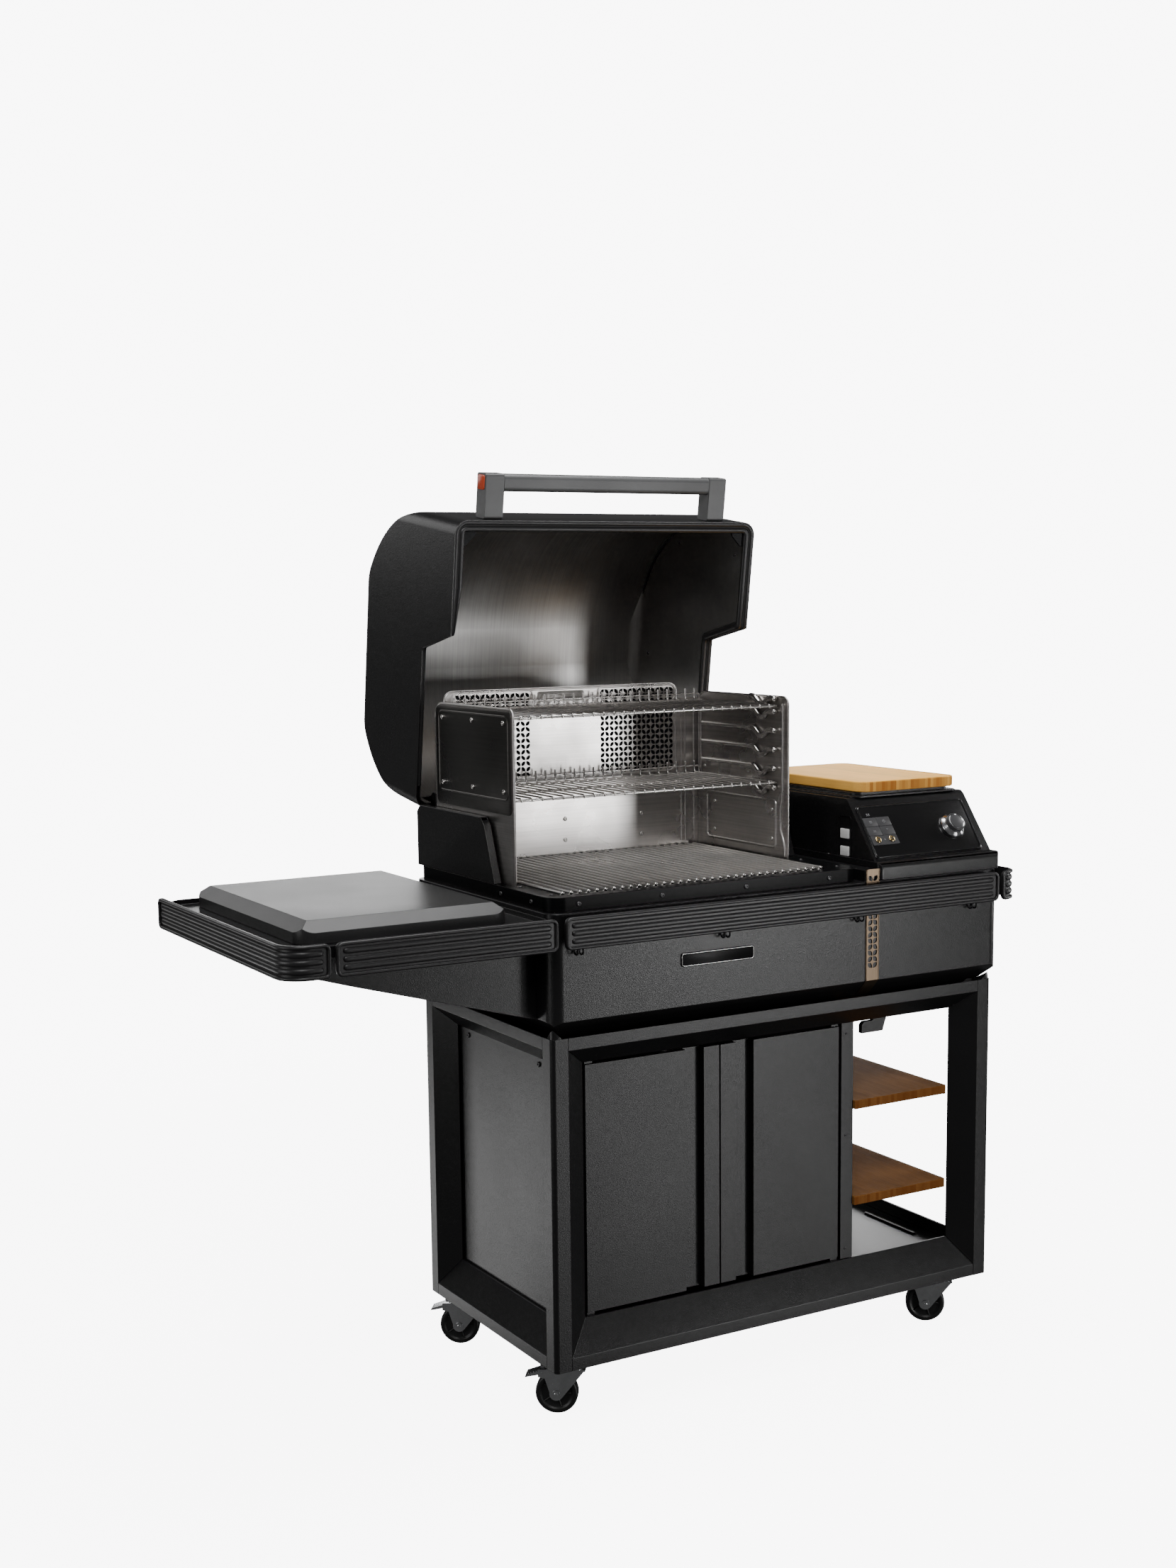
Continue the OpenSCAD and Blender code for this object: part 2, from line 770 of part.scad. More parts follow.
module lid_liner() {
    color("#4a4947") placed() opened() difference() {
        lid_form(liner_inset, lid_low + 4);
        lid_form(liner_inset + skin, lid_low - 20);
        lid_step(4);
        // Clearance round the hinge ears
        for (x = ear_x) {
            box([x - 13, 500, 1040], [x + 18, 560, 1100]);
        }
    }
}

module lid_gasket() {
    i = lid_t + 0.3;
    o = liner_inset - 0.3;
    color("#0a0a0a") placed() opened() {
        box([40, lid_front + i, lid_low + 6], [lid_x[1] - 34, lid_front + o, lid_low + 18]);
        for (x = [lid_x[0] + i, lid_x[1] - o]) {
            box([x, 24, lid_low + 6], [x + o - i, 188, lid_low + 18]);
            box([x, 250, collar_top + 12], [x + o - i, 500, collar_top + 24]);
        }
    }
}

module lid_handle() {
    post_w = 38;
    bar_r = 9;
    color("#3f4042") placed() opened() {
        along_x(handle_x[0] + 3, handle_x[1] - 3)
            rrect([handle_y[0], handle_z[0] + 1], [handle_y[1], handle_z[1] - 1], bar_r);
        for (x = [handle_x[0], handle_x[1] - post_w]) {
            along_x(x, x + post_w) rrect([handle_y[0] - 1, handle_z[0]], [lid_front - gap, handle_z[1]], 5);
        }
    }
}

module handle_inlay() {
    color("#b8452c") placed() opened()
        along_x(handle_x[0] - 1.5, handle_x[0] - 0.1)
            rrect([handle_y[0] + 3, handle_z[0] + 5], [handle_y[0] + 28, handle_z[1] - 5], 4);
}

bracket_x = [44, 608];

module hinge_brackets() {
    color("#101112") placed() for (i = [0, 1]) {
        x = bracket_x[i];
        along_x(x, x + 5) union() {
            translate(hinge) circle(9);
            polygon([[rim_y[1] + gap, hinge[1]], [rim_y[1] + gap, 940], [hinge[0] - 3.5, 940],
                [hinge[0] - 3.5, hinge[1] - 8], [hinge[0], hinge[1]]]);
        }
        rod_x(i == 0 ? x : ear_x[1] - 4, i == 0 ? ear_x[0] + 10 : x + 5, hinge[0], hinge[1], hinge_pin_r);
    }
}

// ---- Doors ----

pull_w = 39;         // width of the recessed finger channel
bar_w = 33;          // width of the raised closing bar
door_t = 18;
meeting_x = 364;

// Plan of a folded door from its hinge edge: flat panel, channel and closing bar
function door_plan(w) = [[0, door_t], [0, 0], [w - bar_w - pull_w, 0], [w - bar_w - pull_w + 2, door_t - 4],
    [w - bar_w - 2, door_t - 4], [w - bar_w, 0], [w, 0], [w, door_t], [w - skin, door_t],
    [w - skin, skin], [w - bar_w + skin - 0.3, skin], [w - bar_w - 0.3, door_t - 4 + skin],
    [w - bar_w - pull_w + 0.3, door_t - 4 + skin], [w - bar_w - pull_w - skin + 0.3, skin],
    [skin, skin], [skin, door_t]];

function door_cap(w) = [[0, door_t], [0, 0], [w - bar_w - pull_w, 0], [w - bar_w - pull_w + 2, door_t - 4],
    [w - bar_w - 2, door_t - 4], [w - bar_w, 0], [w, 0], [w, door_t]];

module door(w) {
    pivot = [door_pivot_x[0] - door_edge_x[0], door_pivot_y - 34];
    along_z(door_z[0], door_z[1]) polygon(door_plan(w));
    for (z = [door_z[0], door_z[1] - skin]) {
        along_z(z, z + skin) polygon(door_cap(w));
    }
    for (z = [door_z[0] - 14, door_z[1] - 6]) {
        translate([pivot[0], pivot[1], z]) cylinder(h = 20, r = door_pin_r);
    }
}

module door_left() {
    color("#1a1b1d") placed() translate([door_edge_x[0], 34, 0])
        door(meeting_x - 1.5 - door_edge_x[0]);
}

module door_right() {
    color("#1a1b1d") placed() translate([door_edge_x[1], 34, 0]) mirror([1, 0, 0])
        door(door_edge_x[1] - meeting_x - 1.5);
}

// ---- Racks ----

// Round rods on square cross bars, with a fence along the back
module rack(z) {
    side = [wall_x[0] + skin + 5, wall_x[1] - 5];
    y = [187, 440];
    half = 2.5;
    rod = 2;
    count = 26;
    pitch = (side[1] - side[0]) / (count + 1);
    fence = 24;
    for (x = side) {
        box([x - half, y[0] - half, z - half], [x + half, y[1] + half, z + half]);
    }
    for (yy = [y[0], (y[0] + y[1]) / 2, y[1]]) {
        box([side[0], yy - half, z - half], [side[1], yy + half, z + half]);
    }
    for (i = [1:count]) {
        x = side[0] + i * pitch;
        rod_y(y[0] - 4, y[1] + 4, x, z + half + rod - 0.8, rod);
        translate([x, y[1], z]) cylinder(h = fence, r = 1.6);
    }
    box([side[0] + 8, y[1] - half, z + fence - half], [side[1] - 8, y[1] + half, z + fence + half]);
}

module rack_top() {
    color("#c4c2be") placed() rack(ledge_top + 2.8);
}

module rack_middle() {
    color("#c4c2be") placed() rack(ledge_top - 4 * ledge_pitch + 2.8);
}

// ---- Hopper ----

function hopper_side(inset) = [[hopper_front + inset * 1.2, hopper_foot - 2],
    [hopper_front + inset * 1.2, hopper_foot + inset * 0.5],
    [hopper_front + slope_run + inset * 0.8, hopper_foot + slope_rise - inset * 0.4],
    [hopper_front + slope_run + inset * 0.8 + 8, hopper_top - inset],
    [hopper_back - inset, hopper_top - inset], [hopper_back - inset, hopper_foot - 2]];

// Lugs and pin beside each hinge ear of the hopper lid
module hopper_lugs() {
    for (x = hopper_ear_x) {
        for (side = [x - 4, x + 12.5]) {
            along_x(side, side + 3.5) union() {
                translate(hopper_hinge) circle(5);
                translate([hopper_hinge[0] - 5, hopper_top - 1]) square([10, hopper_hinge[1] - hopper_top + 1]);
            }
        }
        rod_x(x - 3, x + 15, hopper_hinge[0], hopper_hinge[1], hopper_pin_r);
    }
}

module hopper_housing() {
    foot_x = [690, 982];
    color("#121314") placed() hopper_lugs();
    color("#121314") placed() difference() {
        union() {
            // Base flange with a round front edge
            intersection() {
                along_z(tub_top + gap, hopper_foot) rrect([foot_x[0], -8], [foot_x[1], 512], 10);
                along_x(foot_x[0], foot_x[1]) {
                    translate([-8, 900]) square([530, 25]);
                    translate([4, 900]) square([518, 40]);
                    translate([4, hopper_foot - 12]) circle(12);
                }
            }
            along_x(hopper_x[0], hopper_x[1]) polygon(hopper_side(0));
        }
        along_x(hopper_x[0] + sheet, hopper_x[1] - sheet) polygon(hopper_side(sheet));
        along_z(900, hopper_foot - sheet) rrect([foot_x[0] + sheet, -5], [foot_x[1] - sheet, 509], 7);
        box([hopper_x[0] + sheet, hopper_front + 8, 920], [hopper_x[1] - sheet, hopper_back - sheet, 945]);
        box([bin_x[0] - 1, bin_y[0] - 1, hopper_top - 10], [bin_x[1] + 1, bin_y[1] + 1, hopper_top + 10]);
        // Seams between the side, front and back panels and the base flange
        box([foot_x[0], hopper_front - 10, hopper_foot], [foot_x[1], hopper_back + 10, hopper_foot + gap]);
        for (x = [hopper_x[0] + sheet, hopper_x[1] - sheet - gap]) {
            box([x, 0, hopper_foot], [x + gap, bin_y[0] - 1, hopper_top + 1]);
            box([x, bin_y[1] + 1, hopper_foot], [x + gap, hopper_back + 1, hopper_top + 1]);
        }
        for (x = [hopper_x[0] + sheet, bin_x[1]], y = [bin_y[0] - 1 - gap, bin_y[1] + 1]) {
            box([x, y, hopper_top - 10], [x == bin_x[1] ? hopper_x[1] - sheet : bin_x[0], y + gap, hopper_top + 1]);
        }
        // Latch slot in the left side
        along_x(hopper_x[0] - 1, hopper_x[0] + 1.6) rrect([87, 934], [123, 1012], 5);
        // Holes for the knob's shaft and the probe jacks
        on_fascia() {
            translate([knob_at[0], knob_at[1], -12]) cylinder(h = 24, r = 6.5);
            for (u = jack_u) {
                translate([u, jack_v, -12]) cylinder(h = 24, r = 6.5);
            }
        }
    }
}

module on_fascia() {
    translate([0, hopper_front, hopper_foot]) rotate([slope_angle, 0, 0]) children();
}

module hopper_bin() {
    wall = 1.5;
    out_x = [790, 880];
    out_y = [205, 275];
    out_z = 801.5;
    color("#8f9092") placed() difference() {
        union() {
            box([bin_x[0], bin_y[0], 960], [bin_x[1], bin_y[1], hopper_top - 0.5]);
            intersection() {
                along_y(bin_y[0], bin_y[1]) polygon([[bin_x[0], 960], [out_x[0], 840],
                    [out_x[0], out_z], [out_x[1], out_z], [out_x[1], 840], [bin_x[1], 960]]);
                along_x(bin_x[0], bin_x[1]) polygon([[bin_y[0], 960], [out_y[0], 840],
                    [out_y[0], out_z], [out_y[1], out_z], [out_y[1], 840], [bin_y[1], 960]]);
            }
        }
        box([bin_x[0] + wall, bin_y[0] + wall, 960], [bin_x[1] - wall, bin_y[1] - wall, hopper_top + 1]);
        // Seams between the four upright plates and the funnel
        box([bin_x[0] - 1, bin_y[0] - 1, 960], [bin_x[1] + 1, bin_y[1] + 1, 960 + gap]);
        for (y = [bin_y[0] + wall, bin_y[1] - wall - gap]) {
            box([bin_x[0] - 1, y, 960], [bin_x[1] + 1, y + gap, hopper_top]);
        }
        intersection() {
            along_y(bin_y[0], bin_y[1]) polygon([[bin_x[0] + 5, 961], [out_x[0] + wall, 840.5],
                [out_x[0] + wall, out_z - 1], [out_x[1] - wall, out_z - 1], [out_x[1] - wall, 840.5],
                [bin_x[1] - 5, 961]]);
            along_x(bin_x[0], bin_x[1]) polygon([[bin_y[0] + 5, 961], [out_y[0] + wall, 840.5],
                [out_y[0] + wall, out_z - 1], [out_y[1] - wall, out_z - 1], [out_y[1] - wall, 840.5],
                [bin_y[1] - 5, 961]]);
        }
    }
}

module control_fascia() {
    color("#050506") placed() on_fascia() difference() {
        union() {
            along_z(gap, 2) polygon([[702, 3], [960, 3], [964, 118], [705, 118]]);
            // Raised bead round the panel
            along_z(1.5, 4) difference() {
                polygon([[702, 3], [960, 3], [964, 118], [705, 118]]);
                polygon([[704.4, 6], [957, 6], [961, 115], [707.2, 115]]);
            }
            translate([knob_at[0], knob_at[1], 1]) cylinder(h = 3, r = 26);
        }
        translate([knob_at[0], knob_at[1], -5]) cylinder(h = 20, r = 5 + running);
        for (u = jack_u) {
            translate([u, jack_v, -5]) cylinder(h = 20, r = 6.5);
        }
    }
}

module key_pad() {
    key = [29, 18.5];
    color("#2b2c2e") placed() on_fascia() difference() {
        union() {
            along_z(2.2, 3.4) rrect([708, 31], [770, 91], 1.5);
            for (i = [0, 1], j = [0, 1, 2]) {
                u = 709 + i * (key[0] + 1.5);
                v = 32 + j * (key[1] + 1.2);
                along_z(3, 4.4) rrect([u, v], [u + key[0], v + key[1]], 1.2);
            }
        }
        for (u = jack_u) {
            translate([u, jack_v, 0]) cylinder(h = 20, r = 6.5);
        }
    }
}

jack_bore = 1.8;

module probe_jacks() {
    color("#c9a45a") placed() on_fascia() for (u = jack_u) {
        translate([u, jack_v, 0]) difference() {
            union() {
                translate([0, 0, -10]) cylinder(h = 17, r = 5);
                translate([0, 0, 4.6]) cylinder(h = 1.6, r = 6.2);
            }
            translate([0, 0, -6]) cylinder(h = 20, r = jack_bore);
        }
    }
}

module control_knob() {
    color("#8a8b8d") placed() on_fascia() translate([knob_at[0], knob_at[1], 0]) {
        translate([0, 0, -9]) cylinder(h = 16, r = 5);
        translate([0, 0, 4.5]) rotate_extrude() polygon([[0, 0], [24, 0], [25, 2], [24, 5], [19, 7],
            [18.5, 20], [17, 22.5], [0, 22.5]]);
    }
}

hopper_ear_x = [740, 930];

module hopper_lid() {
    h = hopper_hinge;
    color("#0d0e0f") placed() difference() {
        union() {
            along_z(hopper_top + 0.4, hopper_top + 3) rrect([bin_x[0] - 6, 96], [bin_x[1] + 6, 478], 22);
            along_z(hopper_top + 3, hopper_top + 8.6) rrect([bin_x[0] + 8, 108], [bin_x[1] - 8, 468], 18);
            for (x = hopper_ear_x) {
                along_x(x, x + 12) union() {
                    translate(h) circle(5.5);
                    translate([470, hopper_top + 0.4]) square([h[0] - 470, 4]);
                }
            }
        }
        along_z(hopper_top + 0.3, hopper_top + 7) rrect([bin_x[0] + 10, 110], [bin_x[1] - 10, 466], 16);
        for (x = hopper_ear_x) {
            rod_x(x - 1, x + 13, h[0], h[1], hopper_pin_r + running);
        }
    }
}

board_x = [731, 968];
board_y = [99, 456];
board_z = [hopper_top + 9, 1075];

module cutting_board() {
    color("#e0b878") placed() along_z(board_z[0], board_z[1]) rrect([board_x[0], board_y[0]],
        [board_x[1], board_y[1]], 28);
}

// ---- Feed and fire ----

module fire_pot() {
    color("#5b5a58") placed() difference() {
        translate([pot_at[0], pot_at[1], tub_foot + sheet + gap]) cylinder(h = 128, r = pot_r);
        translate([pot_at[0], pot_at[1], 740]) cylinder(h = 200, r = pot_r - 3);
        translate([pot_at[0], pot_at[1], 600]) cylinder(h = 130, r = pot_r - 3);
        rod_x(pot_at[0] + 20, pot_at[0] + 80, auger_at[0], auger_at[1], 23);
    }
}

module auger_tube() {
    color("#77787a") placed() difference() {
        rod_x(pot_at[0] + pot_r + gap + 4, auger_x[1], auger_at[0], auger_at[1], 26);
        rod_x(0, 1000, auger_at[0], auger_at[1], 23);
        box([792, 207, auger_at[1]], [878, 273, 860]);
    }
}

module auger_screw() {
    turns = 11;
    length = auger_x[1] - auger_x[0] - 2;
    color("#9a9a9a") placed() translate([auger_x[0], auger_at[0], auger_at[1]]) rotate([0, 90, 0]) {
        cylinder(h = length + 1.5, r = 7);
        linear_extrude(length - 12, twist = -360 * turns, slices = turns * 8, $fn = 6)
            translate([0, -1.5]) square([20, 3]);
    }
}

module auger_motor() {
    y = auger_at[0];
    z = auger_at[1];
    color("#3a3b3d") placed() {
        along_x(auger_x[1] + 1, auger_x[1] + 20) rrect([y - 32, z - 32], [y + 32, z + 32], 6);
        rod_x(auger_x[1] + 20, auger_x[1] + 42, y, z, 24);
    }
}

module fan_housing() {
    at = [745, 105, 770];
    color("#2d2e30") placed() difference() {
        union() {
            translate([at[0] - 22, at[1], at[2]]) rotate([0, 90, 0]) cylinder(h = 44, r = 46);
            box([at[0] - 22, at[1], at[2] - 46], [at[0] + 22, at[1] + 85, at[2] - 8]);
        }
        translate([at[0] - 20, at[1], at[2]]) rotate([0, 90, 0]) cylinder(h = 40, r = 44);
        box([at[0] - 20, at[1], at[2] - 44], [at[0] + 20, at[1] + 90, at[2] - 10]);
        rod_x(at[0] + 10, at[0] + 40, at[1], at[2], 20);
    }
}

module heat_baffle() {
    color("#4c4b49") placed() {
        box([60, 50, 846], [580, 440, 846 + sheet]);
        for (x = [150, 500], y = [60, 300]) {
            box([x, y, tub_foot + sheet + gap], [x + sheet, y + 130, 846 - gap]);
        }
    }
}

module drip_tray() {
    lo = [44, 44];
    hi = [592, 452];
    color("#3d3c3a") placed() {
        difference() {
            along_z(866, 884) rrect(lo, hi, 12);
            along_z(868, 890) rrect([lo[0] + 2, lo[1] + 2], [hi[0] - 2, hi[1] - 2], 10);
        }
        for (x = [80, 540], y = [80, 400]) {
            box([x, y, 846 + sheet + gap], [x + 20, y + 20, 866.5]);
        }
    }
}

module grease_keg() {
    at = [pot_at[0], pot_at[1]];
    color("#9a9a98") placed() difference() {
        union() {
            translate([at[0], at[1], 520]) cylinder(h = 164, r = 78);
            translate([at[0], at[1], 680]) cylinder(h = 10, r = 88);
        }
        translate([at[0], at[1], 522]) cylinder(h = 150, r = 76);
        translate([at[0], at[1], 660]) cylinder(h = 40, r = 60);
    }
}

module exhaust_duct() {
    color("#1a1b1d") placed() difference() {
        along_x(90, 560) polygon([[515.3, 770], [515.3, 902], [540, 902], [556, 886], [556, 770]]);
        along_x(93, 557) polygon([[518, 760], [518, 899], [539, 899], [553, 885], [553, 760]]);
    }
}

// ---- Casters ----

module fork_side() {
    polygon([[-22, base_z - 18], [22, base_z - 18], [62, base_z - 20], [62, brake_at[1] - 6],
        [50, brake_at[1] - 8], [trail + 12, wheel_r + 3], [trail - 10, wheel_r - 7]]);
    translate([trail, wheel_r]) circle(12);
}

module caster_fork() {
    inner = wheel_w / 2 + 1.5;
    outer = inner + 2.5;
    color("#b9bcc0") {
        difference() {
            union() {
                for (side = [-outer, inner]) {
                    along_y(side, side + 2.5) fork_side();
                }
                box([-22, -outer, base_z - 21], [46, outer, base_z - 18]);
                translate([0, 0, base_z - 18.5]) cylinder(h = 9, r = 18);
                translate([0, 0, base_z - 18.5]) cylinder(h = 17, r = kingpin_r);
                rod_y(-outer - 3, outer + 3, trail, wheel_r, axle_r);
                rod_y(-outer - 3, -outer + 0.5, trail, wheel_r, 7);
                rod_y(outer - 0.5, outer + 3, trail, wheel_r, 7);
            }
            rod_y(-outer - 1, outer + 1, brake_at[0], brake_at[1], 2.5 + running);
        }
    }
}

module caster_wheel() {
    w = wheel_w / 2;
    bore = axle_r + running;
    color("#161616") translate([trail, 0, wheel_r]) rotate([90, 0, 0]) rotate_extrude($fn = 64)
        polygon([[bore, -w - 1], [10, -w - 1], [13, -w + 3], [27, -w + 3], [30, -w], [wheel_r - 3, -w],
            [wheel_r, -w + 4], [wheel_r, w - 4], [wheel_r - 3, w], [30, w], [27, w - 3], [13, w - 3],
            [10, w + 1], [bore, w + 1]]);
}

module brake_lever() {
    half = wheel_w / 2 + 1;
    outer = half + 3.4;
    color("#c4c6ca") {
        rod_y(-outer, outer, brake_at[0], brake_at[1], 2.5);
        along_y(-half, half) polygon([[brake_at[0] - 4, brake_at[1] - 2], [brake_at[0] - 4, brake_at[1] + 4],
            [brake_at[0] + 6, brake_at[1] + 4], [84, brake_at[1] - 4], [86, brake_at[1] - 8],
            [brake_at[0] + 6, brake_at[1] - 3]]);
    }
}

// Places a caster's piece at one of the four corners
module at_caster(ix, iy) {
    placed() translate([swivel_x[ix], swivel_y[iy], 0]) rotate(trail_turn) children();
}

module caster_fork_front_left() { color("#b9bcc0") at_caster(0, 0) caster_fork(); }
module caster_fork_front_right() { color("#b9bcc0") at_caster(1, 0) caster_fork(); }
module caster_fork_rear_left() { color("#b9bcc0") at_caster(0, 1) caster_fork(); }
module caster_fork_rear_right() { color("#b9bcc0") at_caster(1, 1) caster_fork(); }
module caster_wheel_front_left() { color("#161616") at_caster(0, 0) caster_wheel(); }
module caster_wheel_front_right() { color("#161616") at_caster(1, 0) caster_wheel(); }
module caster_wheel_rear_left() { color("#161616") at_caster(0, 1) caster_wheel(); }
module caster_wheel_rear_right() { color("#161616") at_caster(1, 1) caster_wheel(); }
module brake_lever_front_left() { color("#c4c6ca") at_caster(0, 0) brake_lever(); }
module brake_lever_front_right() { color("#c4c6ca") at_caster(1, 0) brake_lever(); }
module brake_lever_rear_left() { color("#c4c6ca") at_caster(0, 1) brake_lever(); }
module brake_lever_rear_right() { color("#c4c6ca") at_caster(1, 1) brake_lever(); }

base_rails();
corner_posts();
top_rails();
base_floor();
cabinet_panels();
bamboo_shelves();
cart_fittings();
tub_shell();
tub_rim();
rear_collar();
side_walls();
back_wall();
frame_screws();
cooking_grates();
vent_strip();
name_plate();
front_rail();
side_rails();
side_shelf();
hob_glass();
hopper_housing();
hopper_bin();
control_fascia();
key_pad();
probe_jacks();
fire_pot();
auger_tube();
auger_motor();
fan_housing();
heat_baffle();
drip_tray();
grease_keg();
exhaust_duct();
hinge_brackets();
lid_shell();
lid_liner();
lid_gasket();
lid_handle();
handle_inlay();
door_left();
door_right();
rack_top();
rack_middle();
hopper_lid();
cutting_board();
hob_cover();
control_knob();
auger_screw();
caster_fork_front_left();
caster_fork_front_right();
caster_fork_rear_left();
caster_fork_rear_right();
caster_wheel_front_left();
caster_wheel_front_right();
caster_wheel_rear_left();
caster_wheel_rear_right();
brake_lever_front_left();
brake_lever_front_right();
brake_lever_rear_left();
brake_lever_rear_right();
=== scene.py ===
"""Looks for the pellet smoker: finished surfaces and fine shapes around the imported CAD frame."""

import json

from itertools import product
from math import atan2, ceil, cos, pi, radians, sin, sqrt

import bmesh
import bpy
from mathutils import Matrix, Vector
from mathutils.geometry import delaunay_2d_cdt

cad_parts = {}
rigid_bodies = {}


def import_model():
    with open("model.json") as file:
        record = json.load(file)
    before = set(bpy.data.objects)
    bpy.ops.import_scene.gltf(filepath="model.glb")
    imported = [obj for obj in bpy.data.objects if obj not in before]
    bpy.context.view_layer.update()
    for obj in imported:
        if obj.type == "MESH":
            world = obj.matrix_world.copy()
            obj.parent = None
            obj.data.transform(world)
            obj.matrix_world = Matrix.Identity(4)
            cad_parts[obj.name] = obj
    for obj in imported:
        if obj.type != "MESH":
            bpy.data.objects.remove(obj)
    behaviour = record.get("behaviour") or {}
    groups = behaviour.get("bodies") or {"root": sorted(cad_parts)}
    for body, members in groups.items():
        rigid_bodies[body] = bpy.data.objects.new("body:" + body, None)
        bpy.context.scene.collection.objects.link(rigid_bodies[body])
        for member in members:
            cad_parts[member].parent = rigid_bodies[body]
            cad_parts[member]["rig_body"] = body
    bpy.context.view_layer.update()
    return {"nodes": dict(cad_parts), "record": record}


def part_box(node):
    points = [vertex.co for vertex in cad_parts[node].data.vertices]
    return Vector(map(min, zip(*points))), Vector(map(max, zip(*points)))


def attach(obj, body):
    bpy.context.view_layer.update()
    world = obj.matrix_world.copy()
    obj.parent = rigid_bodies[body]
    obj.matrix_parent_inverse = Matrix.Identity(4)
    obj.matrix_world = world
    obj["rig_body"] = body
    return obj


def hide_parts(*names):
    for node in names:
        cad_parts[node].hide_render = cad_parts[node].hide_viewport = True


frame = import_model()
NODES = frame["nodes"]
SLOT_OF = {s["node"]: s["material_slot"] for s in frame["record"]["subparts"]}

# Places are in millimetres from the cart's left front corner on the floor.
MM = 0.001
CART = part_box("corner_posts")[0]


def at(x, y, z):
    """A point in the cart's millimetres, as a point in the row frame."""
    return Vector((CART.x + x * MM, CART.y + y * MM, z * MM))


LEFT, FRONT, UP = Vector((-1, 0, 0)), Vector((0, -1, 0)), Vector((0, 0, 1))


def span(node):
    """Lowest and highest corner of a CAD node, in the cart's millimetres."""
    low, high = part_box(node)
    return [((p.x - CART.x) / MM, (p.y - CART.y) / MM, p.z / MM) for p in (low, high)]


# ---------------------------------------------------------------- materials


class Surface:
    """A Principled material whose colour, roughness and bump come from layers of noise."""

    def __init__(self, name, colour, roughness, metallic=0.0, specular=0.5, coat=0.0):
        self.material = bpy.data.materials.new(name)
        self.material.use_nodes = True
        self.tree = self.material.node_tree
        self.shader = self.tree.nodes["Principled BSDF"]
        self.colour = colour
        constants = {"Base Color": (*colour, 1), "Roughness": roughness, "Metallic": metallic,
                     "Specular IOR Level": specular, "Coat Weight": coat, "Coat Roughness": 0.06}
        for key, value in constants.items():
            self.shader.inputs[key].default_value = value
        self.place = self.add("TexCoord").outputs["Object"]
        self.height = None

    def add(self, kind, values=None, **settings):
        made = self.tree.nodes.new("ShaderNode" + kind)
        for key, value in settings.items():
            setattr(made, key, value)
        for key, value in (values or {}).items():
            made.inputs[key].default_value = value
        return made

    def link(self, source, target):
        self.tree.links.new(source, target)

    def math(self, operation, value, other=None):
        """One step of arithmetic on an output, with a number or a second output."""
        made = self.add("Math", operation=operation)
        self.link(value, made.inputs[0])
        if isinstance(other, float):
            made.inputs[1].default_value = other
        elif other is not None:
            self.link(other, made.inputs[1])
        return made.outputs[0]

    def axes(self, vector):
        """The X, Y and Z of a vector, as outputs."""
        made = self.add("SeparateXYZ")
        self.link(vector, made.inputs["Vector"])
        return made.outputs

    def stretched(self, stretch):
        """Coordinates that run faster along some axes, for brush marks and grain."""
        mapping = self.add("Mapping", {"Scale": stretch})
        self.link(self.place, mapping.inputs["Vector"])
        return mapping.outputs["Vector"]

    def noise(self, scale, detail=3.0, stretch=(1, 1, 1), rough=0.5):
        made = self.add("TexNoise", {"Scale": scale, "Detail": detail, "Roughness": rough})
        self.link(self.stretched(stretch), made.inputs["Vector"])
        return made.outputs["Fac"]

    def ramp(self, factor, low, high):
        """The factor's range low to high, stretched to 0 to 1."""
        made = self.add("MapRange", {"From Min": low, "From Max": high})
        self.link(factor, made.inputs["Value"])
        return made.outputs["Result"]

    def tone(self, factor, dark, light):
        """Blends the colour between a darker and a lighter tone of itself."""
        mix = self.add("Mix", data_type="RGBA")
        mix.inputs["A"].default_value = (*[c * dark for c in self.colour], 1)
        mix.inputs["B"].default_value = (*[c * light for c in self.colour], 1)
        self.link(factor, mix.inputs["Factor"])
        self.link(mix.outputs["Result"], self.shader.inputs["Base Color"])
        return self

    def tint(self, factor, colour):
        """Lays a second colour over what the base colour is so far."""
        mix = self.add("Mix", data_type="RGBA")
        socket = self.shader.inputs["Base Color"]
        if socket.is_linked:
            self.link(socket.links[0].from_socket, mix.inputs["A"])
        else:
            mix.inputs["A"].default_value = (*self.colour, 1)
        mix.inputs["B"].default_value = (*colour, 1)
        self.link(factor, mix.inputs["Factor"])
        self.link(mix.outputs["Result"], socket)
        return self

    def gloss(self, factor, low, high):
        made = self.add("MapRange", {"To Min": low, "To Max": high})
        self.link(factor, made.inputs["Value"])
        self.link(made.outputs["Result"], self.shader.inputs["Roughness"])
        return self

    def bump(self, factor, strength, depth):
        made = self.add("Bump", {"Strength": strength, "Distance": depth})
        self.link(factor, made.inputs["Height"])
        if self.height is not None:
            self.link(self.height, made.inputs["Normal"])
        self.height = made.outputs["Normal"]
        self.link(self.height, self.shader.inputs["Normal"])
        return self


def painted(name, colour, roughness, grain, coat=0.0, specular=0.5, grain_scale=700):
    """Paint on sheet metal: fine orange-peel grain, faint tone changes and handling marks."""
    s = Surface(name, colour, roughness, specular=specular, coat=coat)
    s.tone(s.ramp(s.noise(5, 4), 0.35, 0.65), 0.82, 1.22)
    s.gloss(s.ramp(s.noise(6, 2), 0.25, 0.75), roughness * 0.94, roughness * 1.06)
    s.bump(s.noise(grain_scale, 2), grain, 0.0006)
    return s.material


